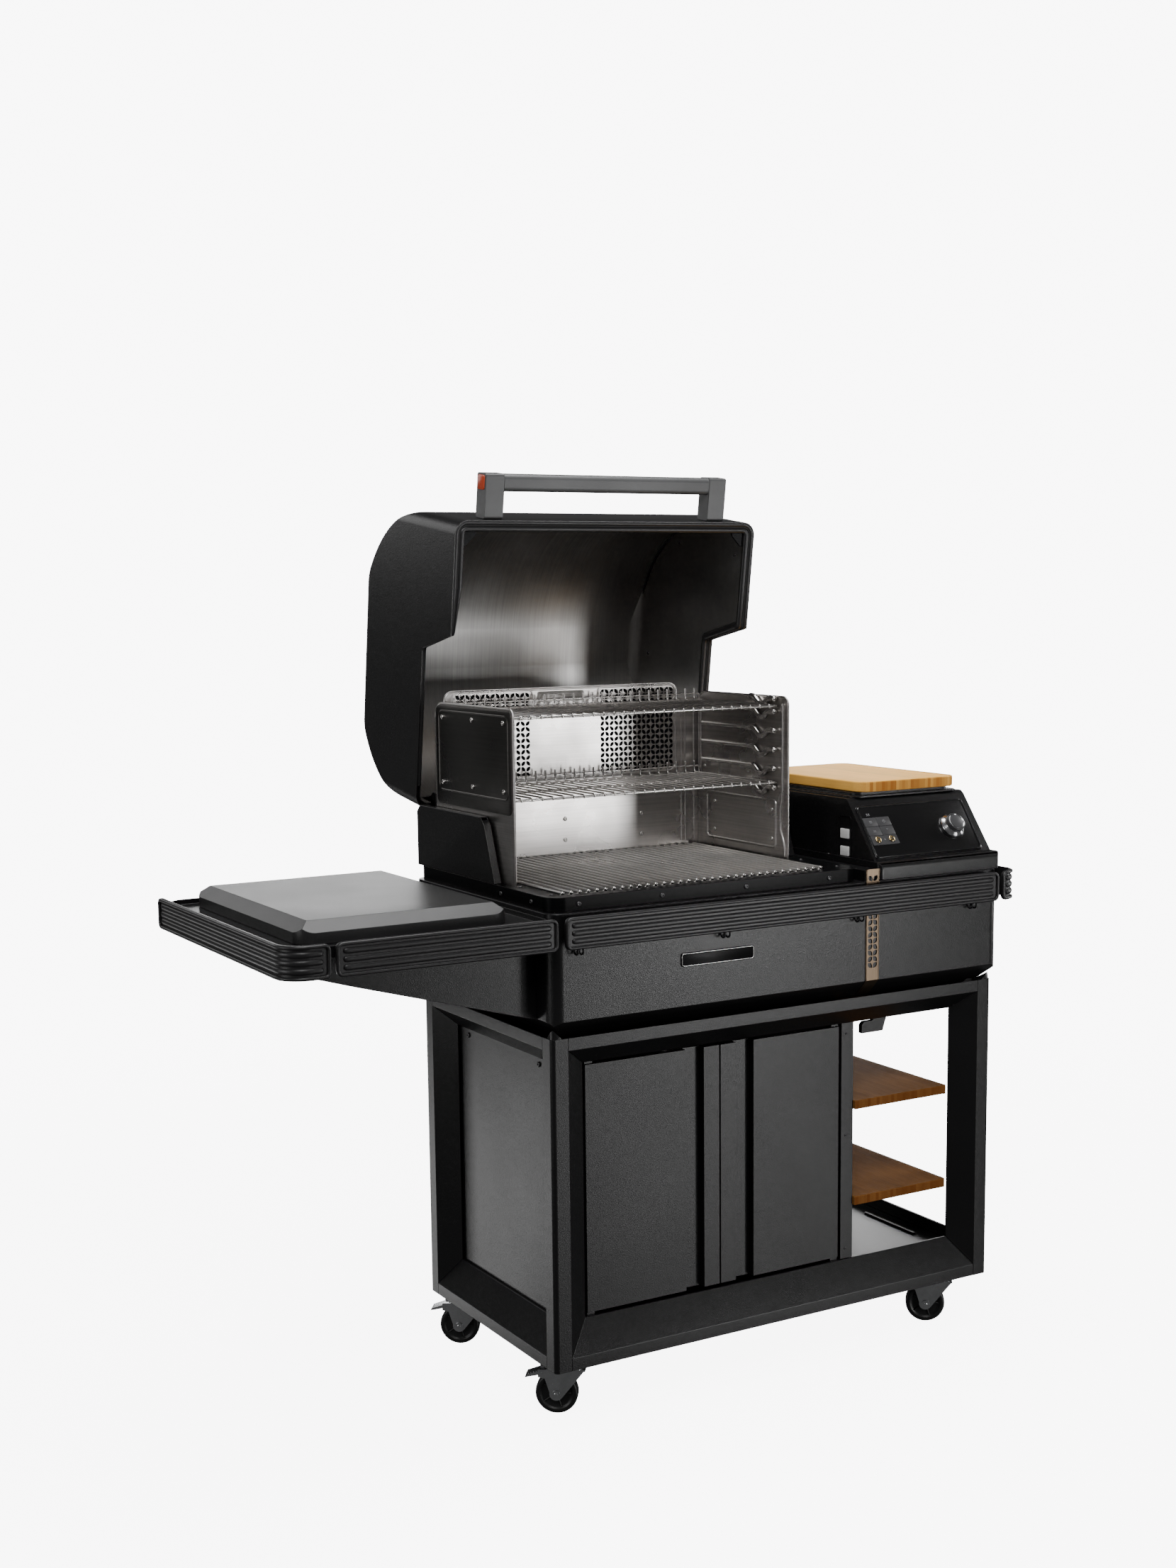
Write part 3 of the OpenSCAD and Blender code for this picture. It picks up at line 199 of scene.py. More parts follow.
def brushed(name, colour, roughness, stretch, depth, warm=0.0):
    """Brushed or drawn metal, streaked along one axis, with cloudy smears."""
    s = Surface(name, colour, roughness, metallic=1.0)
    streaks = s.noise(1.6, 6, stretch, 0.65)
    s.tone(s.ramp(streaks, 0.3, 0.7), 0.86, 1.1)
    if warm:
        warmer = (colour[0], colour[1] * (1 - warm), colour[2] * (1 - 2 * warm))
        s.tint(s.ramp(s.noise(4.5, 3), 0.45, 0.85), warmer)
    s.gloss(s.ramp(s.noise(7, 4), 0.3, 0.7), roughness - 0.05, roughness + 0.08)
    s.bump(streaks, depth, 0.0002)
    return s.material


def bamboo(name, colour, dark, end_grain, strip=18.0, end_strip=7.0):
    """Glued bamboo strips, widths in mm, that run front to back, with their cut ends on the front edge."""
    s = Surface(name, colour, 0.5, specular=0.004)
    across = s.axes(s.place)["X"]

    def strips(width):
        number = s.math("FLOOR", s.math("MULTIPLY", across, 1000 / width))
        random_tone = s.add("TexWhiteNoise", noise_dimensions="1D")
        s.link(number, random_tone.inputs["W"])
        return random_tone.outputs["Value"]

    s.tone(strips(strip), 0.88, 1.1)
    fibres = s.noise(2.2, 8, (190, 7, 190), 0.7)
    knots = s.noise(9, 2, (2.5, 0.8, 1))
    s.tint(s.math("MULTIPLY", s.ramp(fibres, 0.42, 0.72), 0.55), dark)
    s.tint(s.math("MULTIPLY", s.ramp(knots, 0.66, 0.74), 0.35), dark)
    facing = s.axes(s.add("NewGeometry").outputs["True Normal"])["Y"]
    cut_ends = s.math("POWER", facing, 2.0)
    s.tint(s.math("MULTIPLY", cut_ends, s.ramp(strips(end_strip), -0.5, 0.9)), end_grain)
    s.gloss(fibres, 0.36, 0.5)
    s.bump(fibres, 0.2, 0.0004)
    return s.material


def rubber(name, colour, roughness):
    """Dull rubber, cloth or plastic with a fine rough surface."""
    s = Surface(name, colour, roughness, specular=0.4)
    s.tone(s.ramp(s.noise(30, 4), 0.3, 0.7), 0.8, 1.3)
    s.gloss(s.noise(60, 3), roughness - 0.06, roughness + 0.08)
    s.bump(s.noise(500, 3), 0.2, 0.0003)
    return s.material


PAINTS = {
    "powder_black": ((0.005, 0.0048, 0.0052), 0.29, dict(grain=0.5, specular=0.4, grain_scale=620)),
    "gloss_black": ((0.003, 0.003, 0.0033), 0.3, dict(grain=0.05, specular=0.07)),
    "rail_black": ((0.012, 0.0117, 0.0123), 0.36, dict(grain=0.3, specular=0.45, grain_scale=800)),
    "cover_black": ((0.02, 0.0197, 0.0203), 0.38, dict(grain=0.25, specular=0.42)),
    "handle_grey": ((0.08, 0.081, 0.082), 0.42, dict(grain=0.2, grain_scale=900)),
    "inlay_orange": ((0.62, 0.07, 0.018), 0.3, dict(grain=0.1, coat=0.3)),
    "glass_black": ((0.003, 0.003, 0.004), 0.07, dict(grain=0.01, coat=0.5)),
    "fascia_black": ((0.0035, 0.0034, 0.0037), 0.24, dict(grain=0.04, coat=0.35)),
    "key_grey": ((0.035, 0.035, 0.037), 0.44, dict(grain=0.1)),
    "knob_face": ((0.05, 0.05, 0.052), 0.3, dict(grain=0.1)),
    "screw_black": ((0.02, 0.02, 0.021), 0.3, dict(grain=0.05, coat=0.2)),
    "icon_grey": ((0.30, 0.30, 0.31), 0.5, dict(grain=0.05)),
    # Near-black used only for the painted shade behind the back wall's holes
    "hole_shade_black": ((0.002, 0.002, 0.002), 0.6, dict(grain=0.2, specular=0.1)),
    "latch_white": ((0.62, 0.62, 0.61), 0.35, dict(grain=0.15)),
}
METALS = {
    "stainless": ((0.46, 0.443, 0.43), 0.28, (3, 3, 260), 0.25, 0.03),
    "smoked_steel": ((0.36, 0.354, 0.348), 0.4, (240, 4, 4), 0.12, 0.04),
    "wire_steel": ((0.55, 0.53, 0.51), 0.2, (30, 6, 30), 0.03),
    "grate_steel": ((0.60, 0.585, 0.57), 0.3, (12, 4, 12), 0.03, 0.04),
    "galvanised": ((0.45, 0.45, 0.44), 0.42, (20, 20, 20), 0.08),
    "bronze_strip": ((0.165, 0.122, 0.084), 0.36, (160, 160, 3), 0.12),
    "plate_grey": ((0.75, 0.745, 0.73), 0.24, (3, 3, 160), 0.05),
    "jack_brass": ((0.78, 0.58, 0.28), 0.2, (40, 40, 40), 0.05),
    "knob_chrome": ((0.62, 0.62, 0.63), 0.2, (300, 3, 3), 0.1),
    "zinc": ((0.60, 0.61, 0.62), 0.26, (25, 25, 25), 0.05),
    "dark_steel": ((0.16, 0.155, 0.15), 0.4, (20, 20, 20), 0.06),
    "wall_panel": ((0.085, 0.081, 0.077), 0.3, (3, 3, 200), 0.1),
}
WOODS = {
    "bamboo_board": ((0.95, 0.52, 0.12), (0.70, 0.34, 0.07), (0.38, 0.14, 0.028)),
    "bamboo_shelf": ((0.24, 0.105, 0.03), (0.13, 0.052, 0.014), (0.15, 0.052, 0.013)),
}
RUBBERS = {"gasket": ((0.02, 0.02, 0.02), 0.85), "wheel_black": ((0.009, 0.009, 0.009), 0.38)}

FINISH = {name: painted(name, colour, roughness, **how) for name, (colour, roughness, how) in PAINTS.items()}
FINISH.update({name: brushed(name, *how) for name, how in METALS.items()})
FINISH.update({name: bamboo(name, *tones) for name, tones in WOODS.items()})
FINISH.update({name: rubber(name, *how) for name, how in RUBBERS.items()})

for node_name, cad_node in NODES.items():
    cad_node.data.materials.clear()
    cad_node.data.materials.append(FINISH[SLOT_OF[node_name]])


# ---------------------------------------------------------------- mesh tools


def add_piece(name, bm, finish, slot=None, body="cart", replaces=(), smooth=60, weighted=False):
    """Turns a bmesh, in the row frame, into a piece that rides on a body, with the finish as its material.
    The slot argument is not used.
    """
    bmesh.ops.recalc_face_normals(bm, faces=bm.faces)
    mesh = bpy.data.meshes.new(name)
    bm.to_mesh(mesh)
    bm.free()
    mesh.materials.append(FINISH[finish])
    mesh.shade_smooth()
    mesh.set_sharp_from_angle(angle=radians(smooth))
    piece = bpy.data.objects.new(name, mesh)
    bpy.context.scene.collection.objects.link(piece)
    if weighted:
        piece.modifiers.new("flat_faces", "WEIGHTED_NORMAL").keep_sharp = True
    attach(piece, body)
    slot or finish
    if replaces:
        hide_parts(*replaces)


def body_of(node):
    """The body that a CAD node rides on."""
    return NODES[node]["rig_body"]


def rounded(node, width):
    """Shows a CAD node as a copy with its sharp edges rolled to a small radius in mm."""
    least_angle = radians(28)
    bm = bmesh.new()
    bm.from_mesh(NODES[node].data)
    bmesh.ops.remove_doubles(bm, verts=bm.verts, dist=2e-6)
    bmesh.ops.dissolve_limit(bm, angle_limit=radians(0.4), verts=bm.verts, edges=bm.edges)
    sharp = [e for e in bm.edges if len(e.link_faces) == 2 and e.calc_face_angle(0) > least_angle]
    bmesh.ops.bevel(bm, geom=sharp, offset=width * MM, offset_type="OFFSET", segments=2, profile=0.5,
                    affect="EDGES", clamp_overlap=True)
    add_piece(node + "_finished", bm, SLOT_OF[node], body=body_of(node), replaces=[node], smooth=50,
              weighted=True)


def loft(bm, rings, caps=True, closed=True):
    """Joins rings of equally many points with faces, and caps the ends."""
    rows = [[bm.verts.new(p) for p in ring] for ring in rings]
    count = len(rows[0])
    for a, b in zip(rows, rows[1:]):
        for i in range(count if closed else count - 1):
            j = (i + 1) % count
            bm.faces.new((a[i], a[j], b[j], b[i]))
    if caps:
        bm.faces.new(rows[0][::-1])
        bm.faces.new(rows[-1])


def block(bm, x0, y0, z0, x1, y1, z1):
    """A plain box between two corners, in mm."""
    loft(bm, [[at(x, y, z) for x, y in ((x0, y0), (x1, y0), (x1, y1), (x0, y1))] for z in (z0, z1)])


def ring_frame(direction):
    """Two unit vectors square to a direction."""
    d = direction.normalized()
    side = UP.cross(d)
    if side.length < 1e-4:
        side = Vector((1, 0, 0))
    side.normalize()
    return side, d.cross(side)


def lathe(bm, profile, centre, axis, sides=24):
    """Turns a profile of (radius, height) pairs, in mm, about an axis that starts at a point."""
    n = axis.normalized()
    u, v = ring_frame(n)
    ways = [u * cos(2 * pi * i / sides) + v * sin(2 * pi * i / sides) for i in range(sides)]
    loft(bm, [[centre + (way * max(r, 0.01) + n * h) * MM for way in ways] for r, h in profile])


def screw(bm, centre, normal, radius):
    """A domed screw head with a socket, standing on a surface."""
    r = radius
    lathe(bm, [(r, -0.3), (r, 0.25 * r), (0.86 * r, 0.46 * r), (0.62 * r, 0.56 * r), (0.42 * r, 0.58 * r),
               (0.36 * r, 0.5 * r), (0.33 * r, 0.2 * r), (0, 0.16 * r)], centre, normal, 12)


def screws(bm, xs, ys, zs, normal, radius):
    """Screws at every mix of the given places."""
    for place in product(xs, ys, zs):
        screw(bm, at(*place), normal, radius)


def tube(bm, points, radius, sides=10, ball=True):
    """A round wire through points in the row frame, radius in mm, with round or flat ends."""
    r = radius * MM
    count = len(points)
    tangents = []
    for i in range(count):
        tangents.append((points[min(i + 1, count - 1)] - points[max(i - 1, 0)]).normalized())
    u = ring_frame(tangents[0])[0]
    rings = []

    def ring(centre, tangent, across, size):
        other = tangent.cross(across)
        return [centre + (across * cos(2 * pi * k / sides) + other * sin(2 * pi * k / sides)) * size
                for k in range(sides)]

    def end(centre, tangent, across, sign):
        made = []
        for lift, size in ((0.97, 0.25), (0.72, 0.69), (0.3, 0.95)):
            made.append(ring(centre + tangent * sign * lift * r, tangent, across, size * r))
        return made if sign < 0 else made[::-1]

    for i, (point, tangent) in enumerate(zip(points, tangents)):
        u = (u - tangent * u.dot(tangent)).normalized()
        if i == 0 and ball:
            rings += end(point, tangent, u, -1)
        rings.append(ring(point, tangent, u, r))
        if i == count - 1 and ball:
            rings += end(point, tangent, u, 1)
    loft(bm, rings)


def bend(points, radius, steps=5):
    """A path with its corners rounded to a radius in mm."""
    out = [points[0]]
    for before, corner, after in zip(points, points[1:], points[2:]):
        a = (before - corner).normalized()
        b = (after - corner).normalized()
        cut = min(radius * MM, (before - corner).length / 2, (after - corner).length / 2)
        start, stop = corner + a * cut, corner + b * cut
        for i in range(steps + 1):
            t = i / steps
            out.append(start * (1 - t) ** 2 + corner * 2 * t * (1 - t) + stop * t * t)
    out.append(points[-1])
    return out


def sample(lo, hi, step):
    """Even stations from lo to hi, at most a step apart."""
    count = max(1, ceil((hi - lo) / step))
    return [lo + (hi - lo) * i / count for i in range(count + 1)]


def round_rect(x0, y0, x1, y1, r, steps=5):
    """Outline of a rectangle with round corners, counterclockwise, in mm."""
    out = []
    corners = ((x1 - r, y1 - r, 0), (x0 + r, y1 - r, 90), (x0 + r, y0 + r, 180), (x1 - r, y0 + r, 270))
    for cx, cy, start in corners:
        for i in range(steps + 1):
            a = radians(start + 90 * i / steps)
            out.append((cx + r * cos(a), cy + r * sin(a)))
    return out


def smooth_quad(corners, r, steps=5):
    """Outline with round corners through four corner points."""
    out = []
    count = len(corners)
    for i in range(count):
        p = Vector(corners[i])
        a = (Vector(corners[i - 1]) - p).normalized() * r
        b = (Vector(corners[(i + 1) % count]) - p).normalized() * r
        for k in range(steps + 1):
            t = k / steps
            q = (p + a) * (1 - t) ** 2 + p * 2 * t * (1 - t) + (p + b) * t * t
            out.append((q.x, q.y))
    return out


def plate(bm, shape, place, low, high, edge):
    """A slab with a softened upper edge. shape(inset) is its outline and place(u, v, w) sets it in space."""
    levels = [(0, low), (0, high - edge), (edge * 0.3, high - edge * 0.3), (edge, high)]
    loft(bm, [[place(u, v, w) for u, v in shape(inset)] for inset, w in levels])


def slab(bm, x0, y0, x1, y1, r, place, low, high, edge, tighten=0.0):
    """A rectangular plate with round corners, whose radius may shrink towards its upper edge."""
    plate(bm, lambda i: round_rect(x0 + i, y0 + i, x1 - i, y1 - i, r - i * tighten), place, low, high, edge)


def bead(bm, path, place, width, height, closed=True):
    """A raised half-round bead along a flat path, in mm, its foot sunk a little."""
    count = len(path)
    foot = -0.3 / height
    section = [(-1, foot), (-0.8, 0.55), (-0.4, 0.92), (0, 1), (0.4, 0.92), (0.8, 0.55), (1, foot)]
    rings = []
    for i, (u, v) in enumerate(path):
        before = path[(i - 1) % count] if closed or i else path[0]
        after = path[(i + 1) % count] if closed or i < count - 1 else path[-1]
        du, dv = after[0] - before[0], after[1] - before[1]
        length = sqrt(du * du + dv * dv) or 1
        nu, nv = dv / length, -du / length
        rings.append([place(u + nu * s * width / 2, v + nv * s * width / 2, h * height) for s, h in section])
    if closed:
        rings.append(rings[0])
    loft(bm, rings, caps=not closed, closed=False)
    if closed:
        bmesh.ops.remove_doubles(bm, verts=bm.verts, dist=1e-7)


def inside(point, outline):
    """True if a flat point lies inside an outline."""
    x, y = point
    hit = False
    for (x0, y0), (x1, y1) in zip(outline, outline[1:] + outline[:1]):
        if (y0 > y) != (y1 > y) and x < (x1 - x0) * (y - y0) / (y1 - y0) + x0:
            hit = not hit
    return hit


def leaf(cx, cy, turn, length, width, steps=4):
    """Outline of a leaf-shaped hole, in mm."""
    side = []
    for i in range(steps):
        t = i / steps
        side.append((length * (t - 0.5), width / 2 * sin(pi * t) ** 0.8))
    points = side + [(-a, -b) for a, b in side]
    c, s = cos(radians(turn)), sin(radians(turn))
    return [(cx + a * c - b * s, cy + a * s + b * c) for a, b in points]


def leaf_field(x0, y0, x1, y1, pitch, width=0.66):
    """Leaf-shaped holes in rows, each turned against its neighbours so that four make a flower."""
    columns = max(1, round((x1 - x0) / pitch))
    rows = max(1, round((y1 - y0) / pitch))
    step_x, step_y = (x1 - x0) / columns, (y1 - y0) / rows
    return [
        leaf(x0 + (i + 0.5) * step_x, y0 + (j + 0.5) * step_y, 45 if (i + j) % 2 else -45, pitch * 1.2,
             pitch * width)
        for i in range(columns)
        for j in range(rows)
    ]


def punched_sheet(bm, outline, holes, place, back, front):
    """A flat sheet with holes right through it, between two heights along place's third axis."""
    loops = [outline] + holes
    points, edges = [], []
    for loop in loops:
        start = len(points)
        points += [Vector(p) for p in loop]
        edges += [(start + i, start + (i + 1) % len(loop)) for i in range(len(loop))]
    flat, _, faces, _, _, _ = delaunay_2d_cdt(points, edges, [], 1, 1e-5)
    boxes = [(min(p[0] for p in h), max(p[0] for p in h), min(p[1] for p in h), max(p[1] for p in h), h)
             for h in holes]
    kept = []
    for face in faces:
        cx = sum(flat[i].x for i in face) / len(face)
        cy = sum(flat[i].y for i in face) / len(face)
        hole = any(a < cx < b and c < cy < d and inside((cx, cy), h) for a, b, c, d, h in boxes)
        if not hole and inside((cx, cy), outline):
            kept.append(face)
    top = [bm.verts.new(place(p.x, p.y, front)) for p in flat]
    bottom = [bm.verts.new(place(p.x, p.y, back)) for p in flat]
    seen = {}
    for face in kept:
        bm.faces.new([top[i] for i in face])
        bm.faces.new([bottom[i] for i in reversed(face)])
        for i, j in zip(face, face[1:] + face[:1]):
            seen[(i, j)] = True
    for i, j in seen:
        if (j, i) not in seen:
            bm.faces.new((top[i], bottom[i], bottom[j], top[j]))
    for v in [v for v in top + bottom if not v.link_faces]:
        bm.verts.remove(v)


# ---------------------------------------------------------------- camera, light and floor


BACKDROP = (0.985, 0.975, 0.985, 1)


def make_camera():
    """Stands where the photo was taken from, front left of the cart."""
    yaw, pitch, roll = radians(29.9), radians(7.7), radians(-0.7)
    ahead = Vector((sin(yaw) * cos(pitch), cos(yaw) * cos(pitch), -sin(pitch)))
    level = Vector((cos(yaw), -sin(yaw), 0))
    upright = level.cross(ahead)
    right = level * cos(roll) + upright * sin(roll)
    up = upright * cos(roll) - level * sin(roll)
    camera = bpy.data.objects.new("camera", bpy.data.cameras.new("camera"))
    lens = {"sensor_width": 36, "lens": 44.79, "shift_x": 0.0092, "shift_y": 0.0459, "clip_end": 60}
    for key, value in lens.items():
        setattr(camera.data, key, value)
    camera.matrix_world = Matrix((right, up, -ahead)).transposed().to_4x4()
    camera.location = at(-1562.4, -2798.9, 1436.2)
    bpy.context.scene.collection.objects.link(camera)
    bpy.context.scene.camera = camera


def area_light(name, place, target, size, power, size_y=None):
    """A white panel of light, in metres and watts, turned to a point of the row frame."""
    data = bpy.data.lights.new(name, "AREA")
    data.shape = "RECTANGLE"
    data.size = size
    data.size_y = size_y or size
    data.energy = power
    light = bpy.data.objects.new(name, data)
    light.location = place
    light.visible_camera = False
    light.rotation_euler = (Vector(target) - Vector(place)).to_track_quat("-Z", "Y").to_euler()
    bpy.context.scene.collection.objects.link(light)


def make_studio():
    """A near-white backdrop that only the camera sees, a faint dome and the lamps."""
    world = bpy.data.worlds.new("studio")
    bpy.context.scene.world = world
    world.use_nodes = True
    tree = world.node_tree
    out = tree.nodes["World Output"]
    seen = tree.nodes["Background"]
    seen.inputs["Color"].default_value = BACKDROP
    seen.inputs["Strength"].default_value = 9.0
    dome = tree.nodes.new("ShaderNodeBackground")
    dome.inputs["Color"].default_value = (1, 1, 1, 1)
    dome.inputs["Strength"].default_value = 0.09
    ray = tree.nodes.new("ShaderNodeLightPath")
    mix = tree.nodes.new("ShaderNodeMixShader")
    tree.links.new(ray.outputs["Is Camera Ray"], mix.inputs["Fac"])
    tree.links.new(dome.outputs["Background"], mix.inputs[1])
    tree.links.new(seen.outputs["Background"], mix.inputs[2])
    tree.links.new(mix.outputs["Shader"], out.inputs["Surface"])

    area_light("key", (-1.2, -2.6, 3.4), (0, 0, 0.8), 1.4, 75)
    area_light("front_low", (2.05, -3.2, -0.3), (0.1, 0, 0.4), 0.36, 9, size_y=1.4)
    area_light("front_mid", (2.0, -3.2, 0.85), (0.1, 0, 0.8), 0.5, 28, size_y=0.7)
    area_light("right_strip", (3.0, -0.6, 1.5), (0, 0, 0.8), 0.5, 24, size_y=2.2)
    area_light("top", (0.3, -0.1, 3.8), (0.1, 0, 0), 1.6, 90)
    area_light("back_sheen", (1.4, 3.7, 1.6), (0, 0, 0.95), 1.8, 22, size_y=0.7)
    area_light("back_right", (3.1, 3.6, 1.6), (0.5, 0, 0.7), 1.2, 26, size_y=0.9)
    area_light("floor_left", (-1.8, 2.9, -0.7), (-0.4, 0, 0.3), 1.1, 10)
    area_light("rear_fill", (-1.4, 3.4, 2.6), (0, 0.2, 0.9), 1.8, 16)
    area_light("left_fill", (-3.4, -0.2, 1.2), (0, 0, 0.8), 1.4, 26)
    area_light("floor_front", (1.8, -3.2, -0.5), (0, -0.35, 0.4), 1.4, 10)


def make_floor():
    """A pale disc that fades into the background."""
    bm = bmesh.new()
    bmesh.ops.create_circle(bm, cap_ends=True, radius=9, segments=96)
    mesh = bpy.data.meshes.new("floor")
    bm.to_mesh(mesh)
    bm.free()
    floor = bpy.data.objects.new("floor", mesh)
    bpy.context.scene.collection.objects.link(floor)
    s = Surface("floor_paper", (0.9, 0.895, 0.9), 0.9, specular=0.1)
    s.tone(s.noise(3, 2), 0.995, 1.005)
    clear = s.add("BsdfTransparent")
    away = s.add("VectorMath", operation="LENGTH")
    s.link(s.place, away.inputs[0])
    fade = s.add("MapRange", {"From Min": 1.2, "From Max": 3.2}, interpolation_type="SMOOTHSTEP")
    s.link(away.outputs["Value"], fade.inputs["Value"])
    mix = s.add("MixShader")
    s.link(fade.outputs["Result"], mix.inputs["Fac"])
    s.link(s.shader.outputs["BSDF"], mix.inputs[1])
    s.link(clear.outputs["BSDF"], mix.inputs[2])
    s.link(mix.outputs["Shader"], s.tree.nodes["Material Output"].inputs["Surface"])
    s.shader.inputs["Emission Color"].default_value = BACKDROP
    s.shader.inputs["Emission Strength"].default_value = 7.5
    mesh.materials.append(s.material)
    floor.visible_diffuse = floor.visible_glossy = floor.visible_shadow = False


make_camera()
make_studio()
make_floor()


# ---------------------------------------------------------------- sheet parts that keep their CAD shape

EDGE_MM = {
    "corner_posts": 1.0, "base_rails": 1.0, "top_rails": 1.0, "door_left": 0.8, "door_right": 0.8,
    "cabinet_panels": 0.5, "bamboo_shelves": 1.6, "tub_shell": 1.2, "rear_collar": 1.2, "side_shelf": 0.7,
    "hopper_housing": 0.8, "hopper_lid": 0.8, "hob_cover": 3.0, "lid_shell": 0.8, "lid_handle": 1.6,
    "cutting_board": 2.5, "exhaust_duct": 0.8, "tub_rim": 0.8, "hinge_brackets": 0.6, "cart_fittings": 0.5,
    "base_floor": 0.4, "hob_glass": 0.6,
}
for node_name, edge in EDGE_MM.items():
    rounded(node_name, edge)


def flat_xz(y):
    """Places a drawing in X and Z on a wall that faces the front."""
    return lambda u, v, w: at(u, y - w, v)


def flat_yz(x, side):
    """Places a drawing in Y and Z on a wall that faces left (-1) or right (1)."""
    return lambda u, v, w: at(x + side * w, u, v)


# ---------------------------------------------------------------- cooking chamber

BACK_LO, BACK_HI = span("back_wall")
WALL_LO, WALL_HI = span("side_walls")
PITCH = 10.6


def make_back_wall():
    """Sheet with two fields of leaf-shaped holes, its pressings, a dark sheet behind them that paints the
    shade seen through the holes, and a blank tag.
    """
    face = BACK_LO[1]
    place = flat_xz(face)
    top_panel = round_rect(40, 1150, 556, BACK_HI[2] - 0.5, 18)
    main = [(BACK_LO[0], BACK_LO[2]), (BACK_HI[0], BACK_LO[2]), (BACK_HI[0], 1226), (556, 1226)]
    main += [p for p in top_panel if p[1] > 1226]
    main += [(40, 1226), (BACK_LO[0], 1226)]
    top = BACK_HI[2] - 8
    fields = [(64, 1086, 223, top), (378, 1084, 547, top)]
    holes = [h for f in fields for h in leaf_field(*f, PITCH)]
    bm = bmesh.new()
    punched_sheet(bm, main, holes, place, -1.4, 0)
    add_piece("back_wall_sheet", bm, "stainless", replaces=["back_wall"], smooth=30)

    bm = bmesh.new()
    bead(bm, round_rect(43, 1082, 553, BACK_HI[2] - 3.5, 16), place, 5, 1.5)
    bead(bm, round_rect(58, 1222, 229, top + 4, 10), place, 3, 1.1)
    bead(bm, round_rect(372, 1222, 551, top + 4, 10), place, 3, 1.1)
    for x in (566, 575, 596):
        bead(bm, [(x, 940), (x, 1222)], place, 5, 2.4, closed=False)
    add_piece("back_wall_pressings", bm, "stainless")

    # Near-black slabs behind the hole fields: painted shade seen through the holes
    bm = bmesh.new()
    for x0, x1 in ((56, 231), (370, 555)):
        slab(bm, x0, 1078, x1, BACK_HI[2] - 6, 6, place, -5, -3.6, 0.3)
    add_piece("back_wall_shade", bm, "hole_shade_black", slot="stainless", smooth=30)

    bm = bmesh.new()
    slab(bm, 240, 1229, 342, 1249, 4, place, 0.1, 1.2, 0.5)
    slab(bm, 247, 1233, 261, 1245, 2, place, 1.0, 1.9, 0.4)
    for z in (1235, 1239, 1243):
        slab(bm, 266, z, 332, z + 1.5, 0.6, place, 1.0, 1.6, 0.2)
    add_piece("back_wall_tag", bm, "stainless")


def wall_outline(top, front, back, low, r_front, r_back):
    """Outline in Y and Z of a wall whose upper corners are round, from its front foot to its back foot."""
    out = [(front, low)]
    for cy, r, start in ((front + r_front, r_front, 180), (back - r_back, r_back, 90)):
        for i in range(7):
            a = radians(start - 90 * i / 6)
            out.append((cy + r * cos(a), top - r + r * sin(a)))
    return out + [(back, low)]


def make_side_walls():
    """Side sheets with a rolled hem, pressed panels, five rack ribs each and six wavy front stops."""
    top, low = WALL_HI[2], WALL_LO[2]
    front, back = WALL_LO[1], WALL_HI[1]
    left_out, right_out = WALL_LO[0], WALL_HI[0]
    sheet = 1.5
    inner_faces = ((right_out - sheet, -1), (left_out + sheet, 1))
    outline = wall_outline(top - 1, front + 1, back, low, 16, 26)
    bm = bmesh.new()
    for x0, x1 in ((left_out + 0.2, left_out + sheet), (right_out - sheet, right_out - 0.2)):
        loft(bm, [[at(x, y, z) for y, z in outline] for x in (x0, x1)])
    add_piece("side_wall_sheets", bm, "stainless", replaces=["side_walls"], smooth=30)

    bm = bmesh.new()
    for x in (left_out + 1.2, right_out - 1.2):
        tube(bm, [at(x, y, z) for y, z in outline[:-1]], 2.1, 8)
    # Front flange that steps back towards the rim
    flange = [(178, 1224), (178, 1060), (180, 1040), (184, 1028), (184, 985), (176, 968), (170, 950),
              (170, 936)]
    for x, side in inner_faces:
        bead(bm, round_rect(200, 950, 432, 1040, 8), flat_yz(x, side), 5, 2.0)
        for y in (455, 462):
            bead(bm, [(y, 1052), (y, 1224)], flat_yz(x, side), 4, 2.2, closed=False)
        bead(bm, flange, flat_yz(x, side), 5, 2.4, closed=False)
    add_piece("side_wall_pressings", bm, "stainless")

    # Dark panel on the outer face of the left wall, with a pressed edge
    bm = bmesh.new()
    place = flat_yz(left_out + 0.2, -1)
    slab(bm, 168, 1052, 461, top - 5, 12, place, 0.02, 0.7, 0.3)
    bead(bm, round_rect(180, 1078, 450, top - 14, 12), place, 4, 1.5)
    add_piece("left_wall_panel", bm, "wall_panel", slot="stainless")

    # The top stop has no rib behind it
    rib_levels = [1217 - 36 * i for i in range(5)]
    wave = [(276, -5.5), (266, -5.5), (259, -9), (252, -15), (244, -19.5), (236, -20), (229, -17),
            (223, -12), (216, -8.5), (208, -7.5), (199, -8.5)]
    bm = bmesh.new()
    for x, side in inner_faces:
        for z in rib_levels:
            tube(bm, [at(x + side * 2.8, y, z - 5.5) for y in (445, 440, 360, 275)], 4.2, 10)
        for z in [1241] + rib_levels:
            tube(bm, bend([at(x + side * 5.2, y, z + dz) for y, dz in wave], 4, 3), 5.8, 14)
    add_piece("rack_ribs", bm, "wire_steel", slot="stainless")


def make_chamber_screws():
    """Screws of the side walls and the back wall."""
    bm = bmesh.new()
    right_face = WALL_HI[0] - 1.5
    screws(bm, [WALL_LO[0] - 0.5], (196, 315, 434), (1092, 1212), LEFT, 4.6)
    screws(bm, [right_face], (213, 405), (966, 1022), LEFT, 4.0)
    screws(bm, [right_face], (290, 440), (1090, 1218), LEFT, 3.4)
    screws(bm, (184, 297, 471), [BACK_LO[1]], (960, 1001), FRONT, 4.2)
    add_piece("chamber_screws", bm, "wire_steel", slot="dark_steel", replaces=["frame_screws"])


